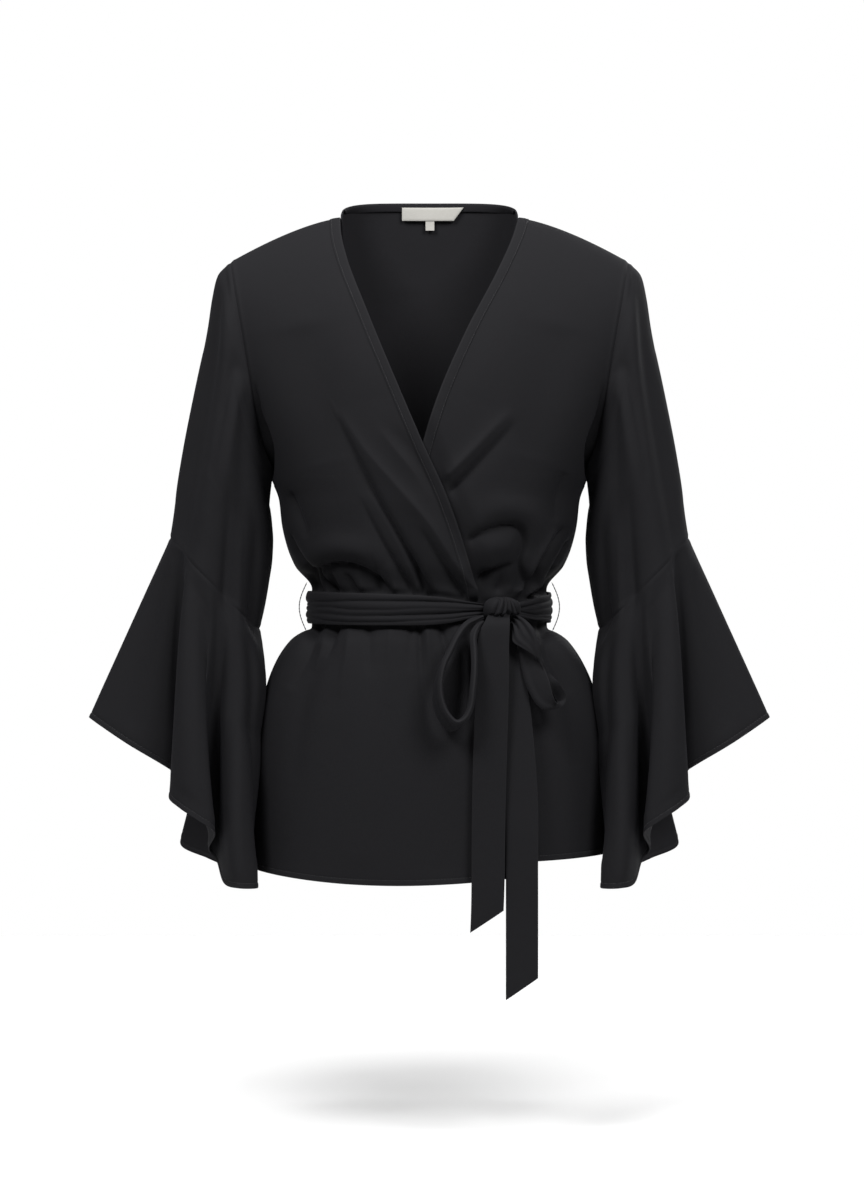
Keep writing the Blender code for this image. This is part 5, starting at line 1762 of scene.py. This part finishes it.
class LineTree(Tree):
    """A Geometry Nodes tree that sets copies of an item along lines."""

    def __init__(self, name: str, inputs: dict[str, tuple[str, object]]) -> None:
        """Starts a tree.

        Args:
            name: The tree's name.
            inputs: Socket type and value of each named input after the geometry.
        """
        super().__init__(bpy.data.node_groups.new(name, "GeometryNodeTree"))
        add = self.tree.interface.new_socket
        add("Geometry", in_out="INPUT", socket_type="NodeSocketGeometry")
        self.values = {}
        for key, (kind, value) in inputs.items():
            socket = add(key, in_out="INPUT", socket_type=kind)
            self.values[socket.identifier] = value
        add("Geometry", in_out="OUTPUT", socket_type="NodeSocketGeometry")
        self.source = self.tree.nodes.new("NodeGroupInput")

    def input(self, name: str) -> Socket:
        """One of the named inputs."""
        return Socket(self, self.source.outputs[name])

    def drawn_out(self, item: Socket, length: Socket, width: Socket) -> Socket:
        """An item of unit size at that length and width."""
        size = self.node("ShaderNodeCombineXYZ", inputs={"X": length, "Y": width, "Z": width})
        return self.node("GeometryNodeTransform", inputs={"Geometry": item, "Scale": size})

    def aim(self) -> Socket:
        """The rotation that turns an item along the line."""
        tangent = self.node("GeometryNodeInputTangent")
        return self.node(
            "FunctionNodeAlignRotationToVector", {"axis": "X"}, {"Vector": tangent}
        )

    def lay(self, item: Socket, pitch: Socket, **placing: Socket) -> None:
        """Sets the items along the lines, realizes them and gives them their thread.

        Args:
            item: The item.
            pitch: Distance between two of them.
            placing: Their Rotation and Scale.
        """
        curve = self.node("GeometryNodeMeshToCurve", inputs={"Mesh": self.input("Geometry")})
        even = self.node(
            "GeometryNodeResampleCurve", {"mode": "LENGTH"}, {"Curve": curve, "Length": pitch}
        )
        placed = {"Points": even, "Instance": item, **placing}
        found = self.node("GeometryNodeInstanceOnPoints", inputs=placed)
        for kind in ("RealizeInstances", "SetShadeSmooth", "SetMaterial"):
            found = self.node(f"GeometryNode{kind}", inputs={"Geometry": found})
        self.feed(found.link.node.inputs["Material"], self.input("Thread"))
        self.feed(self.tree.nodes.new("NodeGroupOutput").inputs[0], found)

    def apply(
        self, name: str, lines: list[np.ndarray], material: bpy.types.Material
    ) -> bpy.types.Object:
        """Runs the tree on lines and keeps the result as a plain mesh.

        Args:
            name: The new piece's name.
            lines: Points of each line, in millimetres.
            material: The material input's value.

        Returns:
            The new object.
        """
        points, edges, start = [], [], 0
        for line in lines:
            points += (line * MM).tolist()
            edges += [(start + k, start + k + 1) for k in range(len(line) - 1)]
            start += len(line)
        mesh = bpy.data.meshes.new(name + "_lines")
        mesh.from_pydata(points, edges, [])
        guide = linked(mesh.name, mesh)
        modifier = guide.modifiers.new("made", "NODES")
        modifier.node_group = self.tree
        for key, value in self.values.items():
            modifier[key] = material if value is None else value
        graph = bpy.context.evaluated_depsgraph_get()
        result = bpy.data.meshes.new_from_object(guide.evaluated_get(graph))
        result.name = name
        bpy.data.objects.remove(guide)
        return linked(name, result)


@dataclass
class RunningStitch:
    """Rows of machine stitches along the turned edges and hems."""

    length: float = 2.3
    gap: float = 0.55
    radius: float = 0.15
    seed: int = 7

    def tree(self) -> LineTree:
        """Stitches laid end to end along a line, each a little uneven."""
        nodes = LineTree("running_stitch", {
            "Pitch": ("NodeSocketFloat", (self.length + self.gap) * MM),
            "Stitch Length": ("NodeSocketFloat", self.length * MM),
            "Thread Radius": ("NodeSocketFloat", self.radius * MM),
            "Seed": ("NodeSocketInt", self.seed),
            "Thread": ("NodeSocketMaterial", None),
        })
        ball = {"Segments": 6, "Rings": 4, "Radius": 0.5}
        bead = nodes.node("GeometryNodeMeshUVSphere", inputs=ball)
        double = nodes.input("Thread Radius") * 2.0
        stitch = nodes.drawn_out(bead, nodes.input("Stitch Length"), double)
        uneven = nodes.node(
            "FunctionNodeRandomValue", {"data_type": "FLOAT_VECTOR"},
            {"Min": (0.9, 0.85, 0.85), "Max": (1.06, 1.1, 1.1), "Seed": nodes.input("Seed")},
        )
        nodes.lay(stitch, nodes.input("Pitch"), Rotation=nodes.aim(), Scale=uneven)
        return nodes

    def build(
        self, name: str, lines: list[np.ndarray], material: bpy.types.Material, slot: str
    ) -> bpy.types.Object:
        """Sews along lines.

        Args:
            name: The piece's name.
            lines: Points of each line of stitches, in millimetres.
            material: The thread.
            slot: Not used.

        Returns:
            The stitches as one piece.
        """
        return declare(self.tree().apply(name, lines, material))


@dataclass
class ThreadLoop:
    """A chained thread carrier for the belt at a side seam."""

    name: str
    side: Side
    top_z: float = -347
    bottom_z: float = -391
    reach: float = 6.5
    clear: float = 1.7
    link: float = 2.1
    radius: float = 0.55

    def path(self) -> np.ndarray:
        """The line that the chain follows."""
        share = np.linspace(0, 1, 60)
        z = self.top_z + (self.bottom_z - self.top_z) * share
        levels, half_widths = zip(*sorted(row[:2] for row in FORM.torso))
        seam_x = np.interp([z[0], z[-1]], levels, half_widths) + self.clear
        x = seam_x[0] + (seam_x[1] - seam_x[0]) * share + self.reach * np.sin(np.pi * share)
        return np.stack([self.side * x, 0 * z, z], -1)

    def build(self, material: bpy.types.Material) -> bpy.types.Object:
        """Makes the chain of links, each turned a fifth further round the line."""
        nodes = LineTree("thread_chain", {
            "Link Length": ("NodeSocketFloat", self.link * MM),
            "Chain Radius": ("NodeSocketFloat", self.radius * MM),
            "Thread": ("NodeSocketMaterial", None),
        })
        ring, thread = (
            nodes.node("GeometryNodeCurvePrimitiveCircle", inputs={"Resolution": n, "Radius": r})
            for n, r in ((14, 0.5), (6, 0.24))
        )
        swept = {"Curve": ring, "Profile Curve": thread}
        link = nodes.node("GeometryNodeCurveToMesh", inputs=swept)
        length = nodes.input("Link Length")
        shaped = nodes.drawn_out(link, length, nodes.input("Chain Radius") * 1.35)
        turn = nodes.node("GeometryNodeInputIndex") * (math.tau / 5)
        spin = nodes.node("ShaderNodeCombineXYZ", inputs={"X": turn})
        turned = nodes.node(
            "FunctionNodeRotateRotation", {"rotation_space": "LOCAL"},
            {"Rotation": nodes.aim(), "Rotate By": spin},
        )
        nodes.lay(shaped, length * 0.62, Rotation=turned)
        made = nodes.apply(f"{self.name}_chain", [self.path()], material)
        return declare(made, self.name)


# ---------------------------------------------------------------- studio
@dataclass(frozen=True)
class SoftLight:
    """One soft light: a wide lamp at a place, or a distant one when it has no size.

    spread is the lamp's width in metres, or the distant light's softness in degrees.
    """

    name: str
    place: tuple[float, float, float]
    power: float
    spread: float
    distant: bool = False

    def build(self) -> None:
        """Adds the light, aimed at the middle of the jacket."""
        light = bpy.data.lights.new(self.name, "SUN" if self.distant else "AREA")
        light.energy = self.power
        if self.distant:
            light.angle = math.radians(self.spread)
        else:
            light.shape, light.size = "DISK", self.spread
        lamp = linked(self.name, light)
        away = Vector(self.place) - (Vector() if self.distant else Vector((0, 0, -0.2)))
        lamp.location = self.place
        lamp.rotation_euler = away.to_track_quat("Z", "Y").to_euler()


@dataclass
class Studio:
    """White floor and surroundings, soft lights, and the camera level with the jacket's middle."""

    floor_z: float = -0.855
    floor: tuple[float, float, float, float] = (-1.4, -0.5, 1.4, 1.6)
    camera: tuple[float, float, float] = (0.0025, -3.0, -0.355)
    lens: float = 96.0
    backdrop: float = 1.0
    ambient: float = 0.27
    lights: tuple[SoftLight, ...] = (
        SoftLight("key", (-0.90, -1.20, 1.10), 39.0, 0.75),
        SoftLight("front", (1.00, -1.30, 1.00), 38.0, 0.85),
        SoftLight("top", (0.0, 0.03, 1.0), 2.2, 42.0, True),
        SoftLight("behind", (0.7, 1.0, 0.5), 0.75, 22.0, True),
    )

    def sky(self) -> bpy.types.World:
        """White to the camera, dimmer as a source of light."""
        world = bpy.data.worlds.new("studio")
        world.use_nodes = True
        nodes, links = world.node_tree.nodes, world.node_tree.links
        seen = nodes.new("ShaderNodeLightPath")
        level = nodes.new("ShaderNodeMapRange")
        level.inputs["To Min"].default_value = self.ambient
        level.inputs["To Max"].default_value = self.backdrop
        links.new(seen.outputs["Is Camera Ray"], level.inputs["Value"])
        links.new(level.outputs["Result"], nodes["Background"].inputs["Strength"])
        nodes["Background"].inputs["Color"].default_value = (1, 1, 1, 1)
        return world

    def build(self) -> None:
        """Adds everything that isn't the jacket."""
        scene = bpy.context.scene
        scene.view_settings.view_transform = "Standard"
        scene.world = self.sky()
        for light in self.lights:
            light.build()
        left, near, right, far = self.floor
        corners = [(left, near), (right, near), (right, far), (left, far)]
        points = np.array([(x, y, self.floor_z) for x, y in corners]) / MM
        floor = new_object("studio_floor", points, [(0, 1, 2, 3)])
        floor.data.materials.append(StudioWhite().material())
        lens = bpy.data.cameras.new("photo_camera")
        lens.lens, lens.sensor_width = self.lens, 36.0
        camera = linked("photo_camera", lens)
        camera.location = self.camera
        camera.rotation_euler = (math.pi / 2, 0, 0)
        scene.camera = camera


# ---------------------------------------------------------------- the jacket
@dataclass
class Jacket:
    """All the pieces, in the order in which they are made."""

    crepe: bpy.types.Material
    label_cloth: bpy.types.Material
    thread: bpy.types.Material
    made: list[bpy.types.Object] = field(default_factory=list)

    def body(self) -> tuple[Front, UnderFront, Back]:
        """The three panels of the body."""
        upper = Front(
            "front_upper", side=Side.LEFT,
            creases=UPPER_CREASES + pleats(UPPER_SKIRT_PLEATS, SKIRT_TOP)
            + pleats(UPPER_BLOUSE_PLEATS, BLOUSE_FOOT),
        )
        under = UnderFront(
            "front_under", side=Side.RIGHT, edge=UNDER_EDGE, hem=(-612, -605.5, -599.5),
            upper=upper, creases=UNDER_CREASES + pleats(UNDER_SKIRT_PLEATS, SKIRT_TOP)
            + pleats(UNDER_BLOUSE_PLEATS, BLOUSE_FOOT),
        )
        back = Back(
            "back", creases=BACK_CREASES + pleats(BACK_BLOUSE_PLEATS, BLOUSE_FOOT)
            + pleats(BACK_SKIRT_PLEATS, SKIRT_TOP),
        )
        return upper, under, back

    @staticmethod
    def belt() -> list[ClothPiece]:
        """The belt, its knot, its loops and its tails."""
        return [
            BeltBand("belt_band"),
            BeltKnot("belt_knot"),
            Ribbon("bow_loop_left", edges=LEFT_LOOP_EDGES, steps=8, bead=2.5),
            Ribbon(
                "bow_loop_right", edges=RIGHT_LOOP_EDGES, steps=10, bead=0.9,
                hollow=(0.43, 0.10, 11),
            ),
            Tail(
                "belt_tail_left", rows=LEFT_TAIL_ROWS, steps=18,
                gathers=(2.0, 0.0, 3.6), gather_reach=0.13,
            ),
            Tail(
                "belt_tail_right", rows=RIGHT_TAIL_ROWS, steps=18,
                gathers=(1.0, 0.0, 2.0), gather_reach=0.2,
            ),
        ]

    def build(self) -> None:
        """Makes every piece of cloth, then the sewing."""
        upper, under, back = self.body()
        bands = [EdgeBand("edge_band_upper", upper), EdgeBand("edge_band_under", under)]
        binding = NeckBinding("back_neck_band", back)
        sleeves = [
            Sleeve("sleeve_left", Side.LEFT, upper, back),
            Sleeve("sleeve_right", Side.RIGHT, under, back),
        ]
        flounces = [
            Flounce(f"flounce_{sleeve.side.name.lower()}", sleeve.side, sleeve)
            for sleeve in sleeves
        ]
        cloth: list[ClothPiece] = [upper, under, back, *bands, binding]
        for pair in zip(sleeves, flounces):
            cloth += pair
        label = NeckLabel("neck_label", back)
        self.made += [piece.build(self.crepe) for piece in cloth + self.belt()]
        self.made += [
            piece.build(self.label_cloth, "label_cloth")
            for piece in (label, SizeTab("size_tab", label))
        ]
        self.made += [
            ThreadLoop(f"thread_loop_{side.name.lower()}", side).build(self.thread)
            for side in Side
        ]
        self.sew([upper, under, back], flounces, bands, binding)

    def sew(
        self, panels: list[ClothPiece], flounces: list[Flounce], bands: list[EdgeBand],
        binding: NeckBinding,
    ) -> None:
        """Topstitching of the turned edges, the hems and the neck binding.

        Args:
            panels: Fronts and back.
            flounces: Both flounces.
            bands: Turned edges of the fronts.
            binding: The back neck's binding.
        """
        lines = []
        for band in bands:
            strip = band.finished
            across = run_lengths(strip.points, 1)[len(strip.points) // 2]
            run = across if band.front.side == Side.LEFT else across[-1] - across
            column = int(np.abs(run - band.stitched).argmin())
            lines.append(strip.points[:, column] + strip.normals()[:, column] * ON_CLOTH)
        lines += [self.hem_line(piece.finished) for piece in panels]
        for flounce in flounces:
            line = self.hem_line(flounce.finished)
            lines.append(np.concatenate([line, line[:1]]))
        strip = binding.finished
        row = int(np.abs(binding.runs() - binding.width + binding.stitched).argmin())
        lines.append(strip.points[row] + strip.normals()[row] * ON_CLOTH)
        self.made.append(RunningStitch().build("topstitching", lines, self.thread, "thread"))

    @staticmethod
    def hem_line(shell: Shell, turned: float = 5.1) -> np.ndarray:
        """Points of the line of stitches above a hem."""
        run = shell.border_runs()[3]
        normals = shell.normals()
        found = []
        for c in range(shell.points.shape[1]):
            place = run[::-1, c]
            found.append([np.interp(turned, place, shell.points[::-1, c, k]) for k in range(3)])
        row = int(np.abs(run[:, 0] - turned).argmin())
        return np.array(found) + normals[row] * ON_HEM


def main() -> None:
    """Loads the frame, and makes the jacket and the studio."""
    logging.basicConfig(level=logging.INFO, format="%(message)s")
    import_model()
    jacket = Jacket(
        crepe=Crepe().material(),
        label_cloth=LabelWeave().material(),
        thread=SewingThread("black_thread", (0.016, 0.016, 0.018)).material(),
    )
    jacket.build()
    Studio().build()
    log.info("pieces: %d", len(jacket.made))


if __name__ == "__main__":
    main()
